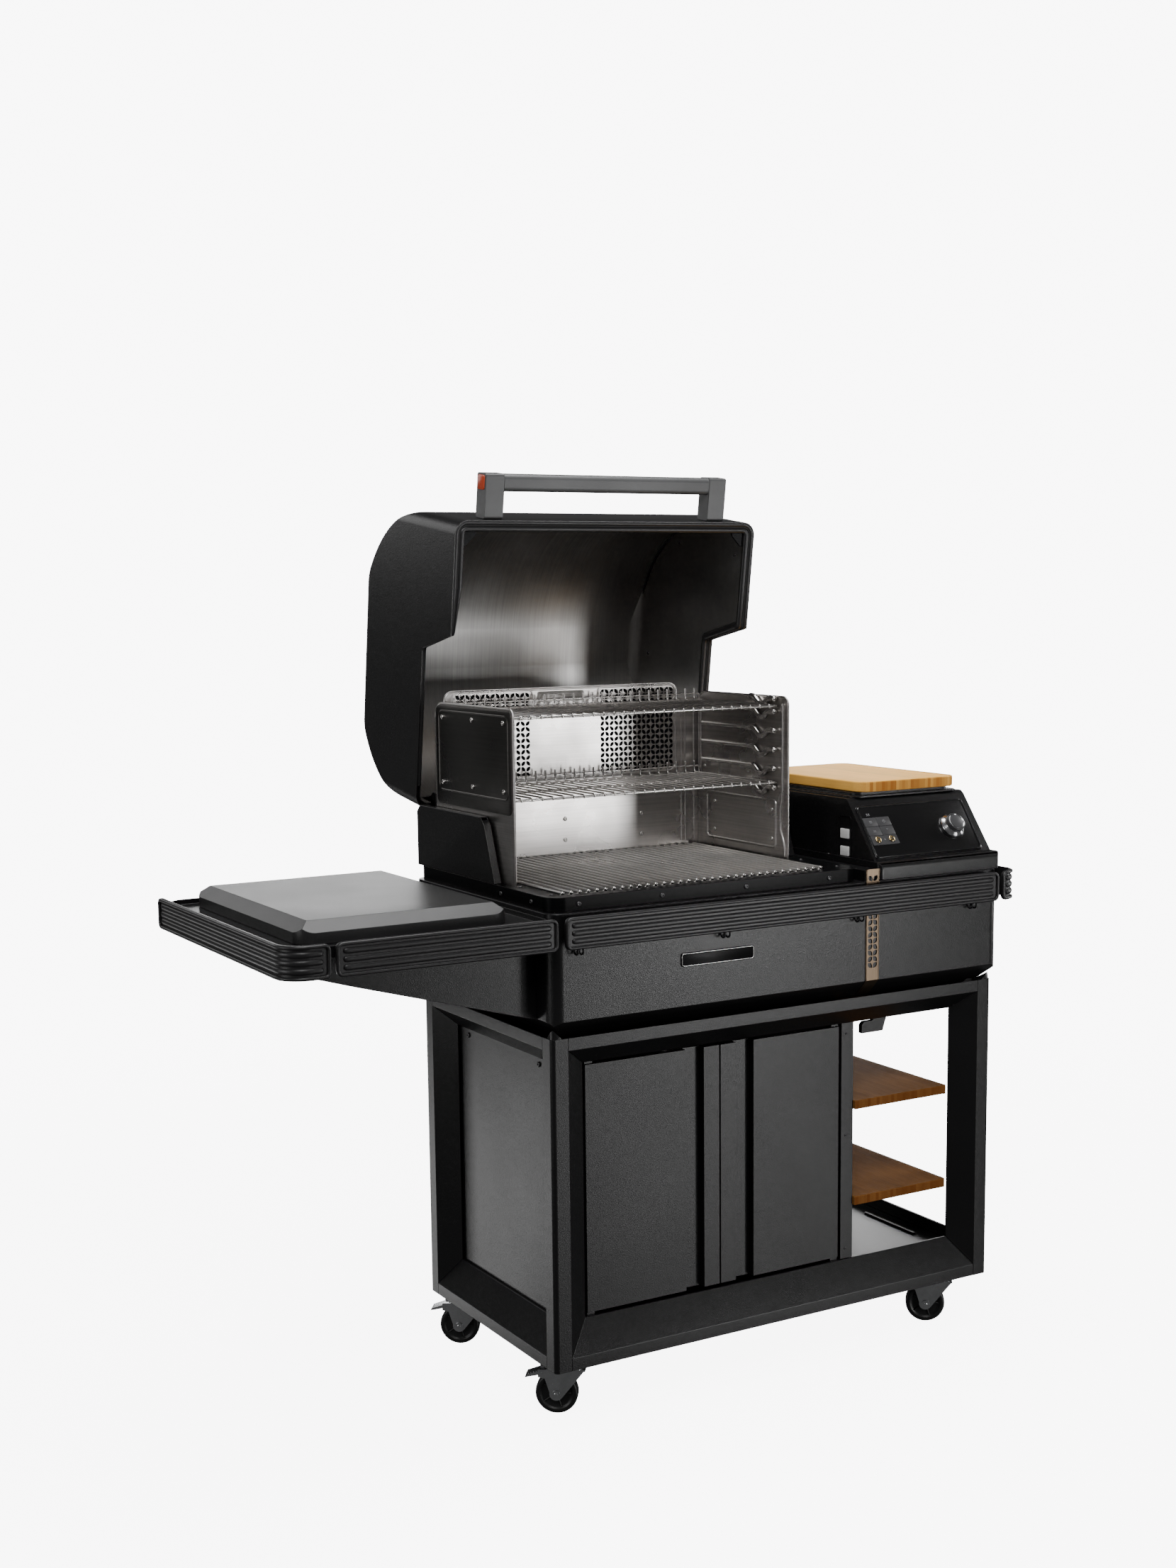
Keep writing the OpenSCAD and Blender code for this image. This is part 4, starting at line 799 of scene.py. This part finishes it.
def make_grates():
    """Round rods with balled front ends, in two grates of three cross bars, welded at the outer ones."""
    low, high = span("cooking_grates")
    radius, pitch = 3.25, 17
    z = high[2] - radius
    ends = low[1] + radius, high[1] - radius
    bars = (39, 246, 454)
    halves = [[first + i * pitch for i in range(count)] for first, count in ((45, 17), (333, 16))]
    bm = bmesh.new()
    for xs in halves:
        for x in xs:
            tube(bm, [at(x, y, z) for y in (ends[0], 140, 250, 360, ends[1])], radius, 10)
        for y in bars:
            tube(bm, [at(x, y, z - 5.6) for x in (xs[0] - 1, (xs[0] + xs[-1]) / 2, xs[-1] + 1)], 2.6, 8)
        for x, y in product(xs, (bars[0], bars[2])):
            tube(bm, [at(x + dx, y, z - 3.2) for dx in (-2.4, 0, 2.4)], 1.9, 8)
    add_piece("grate_rods", bm, "grate_steel", replaces=["cooking_grates"])
    bm = bmesh.new()
    ball = [(0.2, -0.5), (3.3, -0.2), (3.5, 1.2), (2.7, 2.6), (0.2, 3.1)]
    for x in halves[0] + halves[1]:
        lathe(bm, ball, at(x, low[1] + 2.6, z), FRONT, 12)
    add_piece("grate_rod_ends", bm, "wire_steel", slot="grate_steel")


def make_rack(node):
    """Wire rack: rods bent down over the front bar and up into a row of tines at the back, with a fence."""
    low, high = span(node)
    x0, x1 = low[0] + 2.5, high[0] - 2.5
    y0, y1 = 187, 440
    z = low[2] + 2.5
    bm = bmesh.new()
    start = (x0 + 60, y0)
    border = [at(x, y, z) for x, y in (start, (x0, y0), (x0, y1), (x1, y1), (x1, y0), start)]
    tube(bm, bend(border, 10), 2.5, 10)
    tube(bm, [at(x, (y0 + y1) / 2, z) for x in (x0, (x0 + x1) / 2, x1)], 2.3, 8)
    rods = 26
    side = [(y0 - 2.2, -1.5), (y0 - 2.2, 3.2), (250, 3.4), (380, 3.4), (y1 - 1, 3.4), (y1 + 0.5, 24)]
    for i in range(1, rods + 1):
        x = x0 + i * (x1 - x0) / (rods + 1)
        tube(bm, bend([at(x, y, z + dz) for y, dz in side], 5, 4), 1.75, 8)
    left, right = x0 + 8, x1 - 8
    fence = [at(x, y1 + 2, z + dz) for x, dz in ((left, 0), (left, 15), (right, 15), (right, 0))]
    tube(bm, bend(fence, 6), 1.9, 8)
    add_piece(node + "_wires", bm, "wire_steel", body=body_of(node), replaces=[node])


make_back_wall()
make_side_walls()
make_chamber_screws()
make_grates()
make_rack("rack_top")
make_rack("rack_middle")


# ---------------------------------------------------------------- rim, tub and rails

TUB_LO, TUB_HI = span("tub_shell")
RIM_LO, RIM_HI = span("tub_rim")


def make_tub_details():
    """Screws on the rim and the cabinet, the blank name plate and the leaf-punched strip."""
    bm = bmesh.new()
    screws(bm, (58, 224, 400, 583), [RIM_LO[1] - 0.2], [917], FRONT, 4.4)
    screws(bm, [RIM_LO[0] - 0.2], (70, 180), [917], LEFT, 4.0)
    screws(bm, (26, 628), (40, 150), [RIM_HI[2]], UP, 3.6)
    screws(bm, [36.2], (110, 380), [622], LEFT, 5.0)
    screws(bm, [648], [34], (200, 420, 615), FRONT, 2.6)
    add_piece("body_screws", bm, "screw_black", slot="dark_steel")

    low, high = span("name_plate")
    place = flat_xz(high[1])
    bm = bmesh.new()
    slab(bm, low[0], low[2], high[0], high[2], 5, place, 0.1, 1.6, 0.4, tighten=1)
    add_piece("name_plate_base", bm, "gloss_black", slot="plate_grey", replaces=["name_plate"])
    bm = bmesh.new()
    edge = 1.6
    border = round_rect(low[0] + edge, low[2] + edge, high[0] - edge, high[2] - edge, 4)
    bead(bm, border, place, 1.8, 2.3)
    add_piece("name_plate_border", bm, "plate_grey")

    low, high = span("vent_strip")
    front = TUB_LO[1]
    place = flat_xz(front)
    bend_z = 721.5
    outline = [(low[0], bend_z), (high[0], bend_z), (high[0], high[2]), (low[0], high[2])]
    holes = []
    for z0, z1 in ((744, 846), (905, 917)):
        holes += leaf_field(low[0] + 3.7, z0, high[0] - 3.7, z1, 11.3, 0.82)
    bm = bmesh.new()
    punched_sheet(bm, outline, holes, place, 0.3, 1.9)
    loft(bm, [[at(x, front - 1.9, bend_z), at(x, front - 0.3, bend_z), at(x, front + 28.5, TUB_LO[2] + 1.4),
               at(x, front + 27, TUB_LO[2] + 0.2)] for x in (low[0], high[0])])
    add_piece("vent_strip_sheet", bm, "bronze_strip", replaces=["vent_strip"], smooth=30)
    bm = bmesh.new()
    for x in (low[0] + 1.2, high[0] - 1.2):
        bead(bm, [(x, bend_z), (x, high[2])], place, 2.2, 2.6, closed=False)
    add_piece("vent_strip_hems", bm, "bronze_strip")


def make_tub_underside():
    """Shallow pan under the tub, its front skirt, and the caps and round corners of the four posts."""
    foot = TUB_LO[2]
    bm = bmesh.new()
    rings = []
    for inset, drop in ((0, 0.1), (2, 4), (12, 16), (16, 17)):
        outline = round_rect(34 + inset, 26 + inset, 942 - inset, 494 - inset, 18 - inset * 0.5)
        rings.append([at(x, y, foot - drop) for x, y in outline])
    loft(bm, rings)
    add_piece("tub_underpan", bm, "powder_black", smooth=40)
    bm = bmesh.new()
    skirt = smooth_quad([(690, foot - 30), (884, foot - 30), (870, foot - 1), (716, foot - 1)], 3)
    plate(bm, lambda i: skirt, flat_xz(34), 0, 3, 0.4)
    add_piece("tub_skirt", bm, "screw_black", slot="powder_black", smooth=40)

    low, high = span("corner_posts")
    corners = list(product(((low[0], 1), (high[0], -1)), ((low[1], 1), (high[1], -1))))
    # Caps fill the corners between the posts and the tub's sloping foot
    base = [(22, 1), (8, 1), (3.5, 3.5), (1, 8), (1, 22), (22, 22)]
    crown = [(20, 2), (9, 2), (5, 5), (2, 9), (2, 20), (20, 20)]
    lift = [1, 12, 16, 12, 1, 1]
    bm = bmesh.new()
    for (x, sx), (y, sy) in corners:
        loft(bm, [[at(x + sx * a, y + sy * b, foot - 1) for a, b in base],
                  [at(x + sx * a, y + sy * b, foot + h - 0.5) for (a, b), h in zip(crown, lift)]])
    add_piece("post_caps", bm, "powder_black", smooth=40)
    # Round outer corner of each folded post, on a core that closes it
    r = 8
    arc = [(r - 7.95 * cos(radians(a)), r - 7.95 * sin(radians(a))) for a in sample(-6, 96, 8.5)]
    core = arc + [(12, 3), (26, 5), (26, 26), (5, 26), (3, 12)]
    bm = bmesh.new()
    for (x, sx), (y, sy) in corners:
        ends = (low[2] + 0.2, high[2] - 0.2)
        loft(bm, [[at(x + sx * a, y + sy * b, z) for a, b in core] for z in ends])
    add_piece("post_corners", bm, "powder_black", smooth=40)


RAIL_FRONT = span("front_rail")[0][1]
RAIL_Z0, RAIL_Z1 = 847.5, 903.0
CORNER_R = 45.0


def straight_path(x0, x1):
    """Maps a distance along a straight rail and a depth behind its face to X and Y."""
    return (lambda s, d: (x0 + s, RAIL_FRONT + d)), x1 - x0


def corner_path(x_end, y_end, x_free, side):
    """The same for a rail that runs from the back forwards and turns the corner. side is -1 left, 1 right."""
    r = CORNER_R
    straight = y_end - (RAIL_FRONT + r)
    arc = pi / 2 * r
    tail = abs(x_free - x_end) - r

    def where(s, d):
        if s <= straight:
            return x_end - side * d, y_end - s
        if s <= straight + arc:
            a = (s - straight) / r
            cx, cy = x_end - side * r, RAIL_FRONT + r
            return cx + side * (r - d) * cos(a), cy - (r - d) * sin(a)
        return x_end - side * (r + s - straight - arc), RAIL_FRONT + d

    return where, straight + arc + tail


def rail(bm, path, length):
    """Thin strip with a rolled border and three raised ribs with round ends."""
    corner = 11.0
    stations = sample(0, corner, 1.8) + sample(corner, length - corner, 6)[1:]
    stations += sample(length - corner, length, 1.8)[1:]
    rings = []
    for s in stations:
        edge = min(s, length - s, corner)
        drop = corner - sqrt(max(0, corner ** 2 - (corner - edge) ** 2))
        z0, z1 = RAIL_Z0 + drop, RAIL_Z1 - drop
        rings.append([at(*path(s, d), z) for d, z in ((4.4, z0), (4.4, z1), (7.6, z1), (7.6, z0))])
    loft(bm, rings)
    border = 3.1
    outline = round_rect(border, RAIL_Z0 + border, length - border, RAIL_Z1 - border, corner - border, 6)
    dense = []
    for (s0, z0), (s1, z1) in zip(outline, outline[1:] + outline[:1]):
        pieces = max(1, ceil(abs(s1 - s0) / 6))
        dense += [(s0 + (s1 - s0) * i / pieces, z0 + (z1 - z0) * i / pieces) for i in range(pieces)]
    tube(bm, [at(*path(s, border + 0.1), z) for s, z in dense + dense[:1]], border, 8, ball=False)
    middle = (RAIL_Z0 + RAIL_Z1) / 2
    for z in (middle - 13.2, middle, middle + 13.2):
        rib(bm, path, z, 12.5, length - 12.5)


def rib(bm, path, z, start, stop):
    """A raised half-round rib along a rail, with round ends."""
    half, height = 5.2, 3.3
    section = [(-1, -0.15), (-0.86, 0.5), (-0.5, 0.87), (0, 1), (0.5, 0.87), (0.86, 0.5), (1, -0.15)]
    rounding = [half * (1 - cos(radians(a))) for a in (8, 28, 48, 68, 90)]
    stations = [start + e for e in rounding] + sample(start + half, stop - half, 6)[1:-1]
    stations += [stop - e for e in rounding[::-1]]
    rings = []
    for s in stations:
        e = min(s - start, stop - s, half)
        f = sqrt(1 - (1 - e / half) ** 2)
        rings.append([at(*path(s, 4.6 - height * f * h), z + half * f * t) for t, h in section])
    loft(bm, rings)


def hook(bm, x):
    """Spring hook under a rail, with its arm back to the tub."""
    y = RAIL_FRONT + 20
    turns = [radians(90 + 36 * i) for i in range(9)]
    for dx in (-5, 5):
        curl = [at(x + dx, y + 7 * cos(a), RAIL_Z0 - 5 + 7 * sin(a)) for a in turns]
        tube(bm, [at(x + dx, y, RAIL_Z0 + 12)] + curl, 1.7, 8)
    block(bm, x - 9, RAIL_FRONT + 7, RAIL_Z0 + 12, x + 9, TUB_LO[1] - 0.2, RAIL_Z0 + 30)


def make_rails():
    """The front rail with its hooks, and the rails of the shelf and the two corners with their stand-offs."""
    bm = bmesh.new()
    rail(bm, *straight_path(10, 954))
    for x in (44, 340, 635, 903):
        hook(bm, x)
    add_piece("front_rail_strip", bm, "rail_black", replaces=["front_rail"], smooth=55)
    low, high = span("side_rails")
    bm = bmesh.new()
    rail(bm, *straight_path(-400, -4))
    rail(bm, *corner_path(low[0], 569, -408, -1))
    rail(bm, *corner_path(high[0], 401, 962, 1))
    half, behind = 8, 7
    for x in (-340, -60):
        block(bm, x - half, RAIL_FRONT + behind, 875.5, x + half, -26.2, 891.5)
    for y in (51, 261, 461):
        block(bm, low[0] + behind, y - half, 875.5, -476.2, y + half, 891.5)
    for y in (60, 360):
        block(bm, TUB_HI[0] + 0.2, y - half, 867.5, high[0] - behind, y + half, 885.5)
    add_piece("side_rail_strips", bm, "rail_black", replaces=["side_rails"], smooth=55)


make_tub_details()
make_tub_underside()
make_rails()


# ---------------------------------------------------------------- lid

# The closed lid: its hinge, its sides and front, and the centre and radius of its two arcs
HINGE_Y, HINGE_Z = 525.0, 1054.0
LID_OPEN = radians(82)
LID_X0, LID_X1, LID_FRONT, LID_BACK = 6, 652, -8, 545
FRONT_ARC, REAR_ARC = (249, 1069, 257), (326, 1107, 219)
LID_LOW, LID_STEP = 935, 1050


def opened(x, y, z):
    """A point of the closed lid, carried to where it stands open."""
    dy, dz = y - HINGE_Y, z - HINGE_Z
    return at(x, HINGE_Y + dy * cos(LID_OPEN) + dz * sin(LID_OPEN),
              HINGE_Z - dy * sin(LID_OPEN) + dz * cos(LID_OPEN))


def lid_edge(inset, lift):
    """Path along the lid's stepped lower edge, from back left round the front to back right."""
    x0, x1, y0 = LID_X0 + inset, LID_X1 - inset, LID_FRONT + inset
    low, high = LID_LOW + lift, LID_STEP + lift
    r = 26 - inset
    step = [(246, high), (239, high - 2), (236, high - 8), (202, low + 12), (199, low + 3), (194, low)]
    half = [(x0, y, high) for y in (500, 420, 330)]
    half += [(x0, y - lift, z) for y, z in step]
    half += [(x0, 110, low)]
    for i in range(7):
        a = radians(90 * i / 6)
        half.append((x0 + r - r * cos(a), y0 + r - r * sin(a), low))
    mirrored = [(x0 + x1 - x, y, z) for x, y, z in half[::-1]]
    # The frame is narrower where it passes the chamber's left wall
    return [(LID_X0 + inset * 0.5 if y > 150 else x, y, z) for x, y, z in half] + mirrored


def liner_seam(x, inset):
    """Path along the liner's end, from the front edge over the top to the back."""
    points = [(x, LID_FRONT + inset, 960), (x, LID_FRONT + inset, 1030)]
    for (cy, cz, radius), side, turn in ((FRONT_ARC, -1, 1), (REAR_ARC, 1, -1)):
        r = radius - inset
        for a in sample(0, 90, 10)[::turn]:
            points.append((x, cy + side * r * cos(radians(a)), cz + r * sin(radians(a))))
    return points + [(x, LID_BACK - inset, 1064)]


def make_lid_details():
    """Frame with two rolled beads round the lid's mouth, its seal, the liner's seams, rivets and corners."""
    profile = [(0.8, 1.6), (1.6, 0.5), (3.4, -0.2), (5.2, -0.3), (7, 0.3), (8.3, 1.6), (9, 3.4), (10.4, 3.6),
               (11.2, 2.4), (13, 1.0), (15.5, 0.5), (18, 1.0), (20, 2.4), (21, 4.6), (20.6, 8), (18, 12),
               (11, 14)]
    bm = bmesh.new()
    rings = [[opened(*p) for p in lid_edge(inset, lift)] for inset, lift in profile]
    loft(bm, rings, caps=False, closed=False)
    add_piece("lid_lip", bm, "rail_black", slot="powder_black", body="lid")
    bm = bmesh.new()
    tube(bm, [opened(*p) for p in lid_edge(9.6, 2.4)], 1.5, 8)
    add_piece("lid_seal", bm, "gasket", body="lid", replaces=["lid_gasket"])
    bm = bmesh.new()
    for x, radius in ((640.6, 2.2), (17.0, 1.2)):
        tube(bm, [opened(*p) for p in liner_seam(x, 11.2)], radius, 8)
    add_piece("lid_liner_seams", bm, "gasket", slot="powder_black", body="lid")
    bm = bmesh.new()
    for x, inwards in ((LID_X0 + 10.6, -LEFT), (LID_X1 - 10.6, LEFT)):
        for y, z in ((60, 980), (60, 1180), (300, 1270)):
            screw(bm, opened(x, y, z), inwards, 3.2)
    add_piece("lid_rivets", bm, "screw_black", slot="dark_steel", body="lid")
    # Pressed corner plates inside the mouth of the lid
    bm = bmesh.new()
    corner = [(0, 0), (26, 0), (24, 5), (5, 24), (0, 26)]
    for x, side in ((27, 1), (631, -1)):
        loft(bm, [[opened(x + side * a, 14 + b, z) for a, b in corner] for z in (943, 947)])
    add_piece("lid_corner_plates", bm, "gloss_black", slot="powder_black", body="lid", smooth=30)


def make_handle_details():
    """Orange end cap on the handle."""
    def place(u, v, w):
        return opened(71 - w, u, v)

    bm = bmesh.new()
    slab(bm, -85.5, 954.5, -59.5, 980.5, 4.5, place, 0.05, 1.5, 0.5)
    add_piece("handle_inlay_cap", bm, "inlay_orange", body="lid", replaces=["handle_inlay"])


make_lid_details()
make_handle_details()


# ---------------------------------------------------------------- hopper and panel

SLOPE = atan2(103, 79)
HOPPER_FRONT, HOPPER_FOOT = 16.0, 937.0


def on_fascia(u, v, w):
    """A point on the sloping panel: u to the right, v up the slope, w out of it."""
    c, s = cos(SLOPE), sin(SLOPE)
    return at(u, HOPPER_FRONT + v * c - w * s, HOPPER_FOOT + v * s + w * c)


OUT = on_fascia(0, 0, 1) - on_fascia(0, 0, 0)
KNOB = on_fascia(908, 57, 0)
JACK_U, JACK_V = (723, 755), 42


def make_panel():
    """Gloss panel with a raised bead, key pad with plain symbols, and the probe jacks."""
    def panel(inset):
        return smooth_quad([(702 + inset, 3 + inset), (960 - inset, 3 + inset), (964 - inset, 118 - inset),
                            (705 + inset, 118 - inset)], 8)

    bm = bmesh.new()
    plate(bm, panel, on_fascia, 0.3, 2.2, 0.6)
    lathe(bm, [(27, 1), (27, 3.4), (26, 4), (6, 4)], KNOB, OUT, 48)
    bead(bm, panel(2.5), on_fascia, 3.2, 4.0)
    add_piece("fascia_panel", bm, "fascia_black", replaces=["control_fascia"], smooth=50)

    bm = bmesh.new()
    for u, v in product((708.5, 739.7), (51.4, 71.3)):
        slab(bm, u, v, u + 30.4, v + 19.2, 1.2, on_fascia, 2.1, 4.0, 0.5, tighten=0.5)
    ring = [(6.4 * cos(2 * pi * k / 24), 6.4 * sin(2 * pi * k / 24)) for k in range(24)]
    holes = [[(u + a, JACK_V + b) for a, b in ring] for u in JACK_U]
    punched_sheet(bm, round_rect(708.5, 31.5, 770.1, 50.7, 1.2), holes, on_fascia, 2.1, 4.0)
    add_piece("key_pad_keys", bm, "key_grey", replaces=["key_pad"], smooth=50)

    bm = bmesh.new()

    def stroke(points, top=4.15, radius=0.28):
        tube(bm, [on_fascia(u, v, top) for u, v in points], radius, 6)

    def circle(cu, cv, r, start=0, stop=360):
        stroke([(cu + r * cos(radians(a)), cv + r * sin(radians(a))) for a in sample(start, stop, 30)])

    for dv in (-2, 0, 2):
        stroke([(721, 81 + dv), (726.5, 81 + dv)])
    circle(754.5, 81, 2.8, 100, 440)
    stroke([(754.5, 81), (754.5, 83)])
    for dv in (-2.4, 0):
        stroke([(721 + 1.2 * k, 61.5 + dv + 0.7 * (k % 2)) for k in range(6)])
    circle(754.5, 62, 2.8, 45, 135)
    circle(754.5, 61, 1.9, 45, 135)
    circle(739.2, 42, 1.4)
    # Two digits of the display, drawn by the segments of each
    segments = {"a": (0, 4, 2.6, 4), "b": (2.6, 4, 2.6, 2), "c": (2.6, 2, 2.6, 0), "d": (0, 0, 2.6, 0),
                "e": (0, 0, 0, 2), "g": (0, 2, 2.6, 2)}
    for u, digit in ((722, "abgcd"), (727, "abged")):
        for a0, b0, a1, b1 in [segments[key] for key in digit]:
            stroke([(u + a0, 96 + b0), (u + a1, 96 + b1)], top=2.35, radius=0.3)
    add_piece("panel_symbols", bm, "icon_grey", slot="key_grey")

    bm = bmesh.new()
    jack = [(1.9, -9), (5, -9), (5, 4.4), (6.2, 4.6), (6.2, 5.8), (5.6, 6.3), (3.4, 6.3), (3.1, 6.9),
            (2.1, 6.9), (1.85, 6.5), (1.85, -9)]
    for u in JACK_U:
        lathe(bm, jack, on_fascia(u, JACK_V, 0), OUT, 28)
    add_piece("probe_jack_rings", bm, "jack_brass", replaces=["probe_jacks"], smooth=50)
    bm = bmesh.new()
    for u in JACK_U:
        lathe(bm, [(3.2, 6.2), (3.2, 6.75), (1.9, 6.75)], on_fascia(u, JACK_V, 0), OUT, 24)
    add_piece("probe_jack_rims", bm, "gasket", slot="jack_brass", smooth=50)


def make_knob():
    """Chrome skirt, finely ribbed grip, chrome cap and dark face."""
    def turned(name, profile, sides, finish, **how):
        bm = bmesh.new()
        lathe(bm, profile, KNOB, OUT, sides)
        add_piece(name, bm, finish, slot="knob_chrome", body="control_knob", smooth=40, **how)

    turned("knob_ring", [(4.9, -8.5), (4.9, 4.7), (24, 4.7), (25, 5.3), (25, 7), (24, 9), (19.5, 11.4),
                         (18.9, 12.5), (18.6, 13.5)], 64, "knob_chrome", replaces=["control_knob"])
    bm = bmesh.new()
    sides = 96
    u, v = ring_frame(OUT)
    rings = []
    for height, depth in ((12, 0), (13, 0.35), (20.6, 0.35), (21.4, 0)):
        ring = []
        for k in range(sides):
            a = 2 * pi * k / sides
            radius = 18.4 + (depth if k % 2 else -depth)
            ring.append(KNOB + (u * cos(a) + v * sin(a)) * radius * MM + OUT * height)
        rings.append(ring)
    loft(bm, rings)
    add_piece("knob_grip", bm, "knob_face", slot="knob_chrome", body="control_knob", smooth=30)
    turned("knob_cap", [(17.8, 21), (17.8, 22.2), (16.6, 22.6), (15.6, 22.3), (15.2, 21.9), (0, 21.9)], 64,
           "knob_chrome")
    turned("knob_face", [(14.6, 21.8), (14.6, 22.25), (14.2, 22.4), (0, 22.4)], 48, "knob_face")


def make_hopper_details():
    """Slot in the hopper's left side with two pale catches, and screws on its foot."""
    place = flat_yz(697, -1)
    bm = bmesh.new()
    bead(bm, round_rect(86, 933, 124, 1013, 6), place, 2.0, 0.8)
    add_piece("hopper_slot_edge", bm, "gloss_black", slot="powder_black")
    bm = bmesh.new()
    for z in (938, 971):
        slab(bm, 93, z, 118, z + 18, 1.5, place, -1.5, 0.9, 0.5)
        for k in range(3):
            bead(bm, [(94, z + 4.5 + 4.5 * k), (117, z + 4.5 + 4.5 * k)], place, 1.0, 1.1, closed=False)
    add_piece("hopper_catches", bm, "latch_white", slot="powder_black")
    bm = bmesh.new()
    screws(bm, [693.6], (150, 300, 450), [HOPPER_FOOT], UP, 2.6)
    screws(bm, (735, 850, 945), [-2], [921], FRONT, 2.4)
    add_piece("hopper_screws", bm, "screw_black", slot="dark_steel")


make_panel()
make_knob()
make_hopper_details()


# ---------------------------------------------------------------- casters

TRAIL_TURN, TRAIL = radians(143), 30
WHEEL_R = 38


def make_caster(corner, x, y):
    """Tread and ribbed hub of the wheel, axle nuts, bearing balls, ribs on the pedal and plate bolts."""
    def local(a, b, z):
        """A point along and across the way the caster trails."""
        c, s = cos(TRAIL_TURN), sin(TRAIL_TURN)
        return at(x + a * c - b * s, y + a * s + b * c, z)

    side = local(0, 1, 0) - local(0, 0, 0)
    axle = local(TRAIL, 0, WHEEL_R)

    wheel = "caster_wheel_" + corner
    half = [(4.1, 13), (9.6, 13), (10.4, 12.2), (12, 9.2), (14, 8.6), (25.5, 8.6), (27.5, 9.6), (29, 11.6),
            (30.5, 12), (34.5, 12), (36.6, 10.6), (37.7, 8), (WHEEL_R, 4), (WHEEL_R, 0)]
    bm = bmesh.new()
    lathe(bm, half + [(r, -h) for r, h in half[-2::-1]], axle, side, 48)
    add_piece(wheel + "_tread", bm, "wheel_black", body=body_of(wheel), replaces=[wheel], smooth=50)
    bm = bmesh.new()
    u, v = ring_frame(side)
    for k, s in product(range(5), (-1, 1)):
        spoke = u * cos(2 * pi * k / 5) + v * sin(2 * pi * k / 5)
        tube(bm, [axle + spoke * r * MM + side * 9.0 * s for r in (12, 19, 26)], 1.6, 8)
    add_piece(wheel + "_spokes", bm, "wheel_black", body=body_of(wheel), smooth=50)

    fork = "caster_fork_" + corner
    rounded(fork, 0.5)
    bm = bmesh.new()
    for s in (-1, 1):
        face = axle + side * s * 16.0
        lathe(bm, [(7.4, 0), (7.4, 1.0), (6.2, 1.6)], face, side * s, 6)
        lathe(bm, [(3.2, 0.5), (3.2, 3.0), (2.4, 3.6), (0, 3.7)], face, side * s, 16)
    for k in range(9):
        a = 2 * pi * k / 9
        ball = local(0, 0, 84) + Vector((cos(a), sin(a), 0)) * 15.5 * MM
        lathe(bm, [(0.1, -2.4), (1.8, -1.6), (2.4, 0), (1.8, 1.6), (0.1, 2.4)], ball, UP, 10)
    add_piece(fork + "_nuts", bm, "zinc", body=body_of(fork), smooth=50)

    brake = "brake_lever_" + corner
    rounded(brake, 0.5)
    pedal_slope = 8 / 22
    bm = bmesh.new()
    for a in (66, 70.5, 75, 79.5):
        z = 78.25 - (a - 62) * pedal_slope
        tube(bm, [local(a, b, z) for b in (-9, 0, 9)], 0.7, 6)
    add_piece(brake + "_grip", bm, "zinc", body=body_of(brake), smooth=50)

    bm = bmesh.new()
    for dx, dy in product((-18, 34), (-18, 30)):
        bolt = at(x + dx, y + dy, 98)
        lathe(bm, [(4.6, -2.2), (4.6, 0)], bolt, UP, 6)
        lathe(bm, [(2.6, -3.6), (2.9, -2.2)], bolt, UP, 12)
    add_piece("caster_bolts_" + corner, bm, "zinc", slot="powder_black", smooth=50)


for (end, y), (hand, x) in product((("front", 56), ("rear", 436)), (("left", 67), ("right", 903))):
    make_caster(end + "_" + hand, x, y)
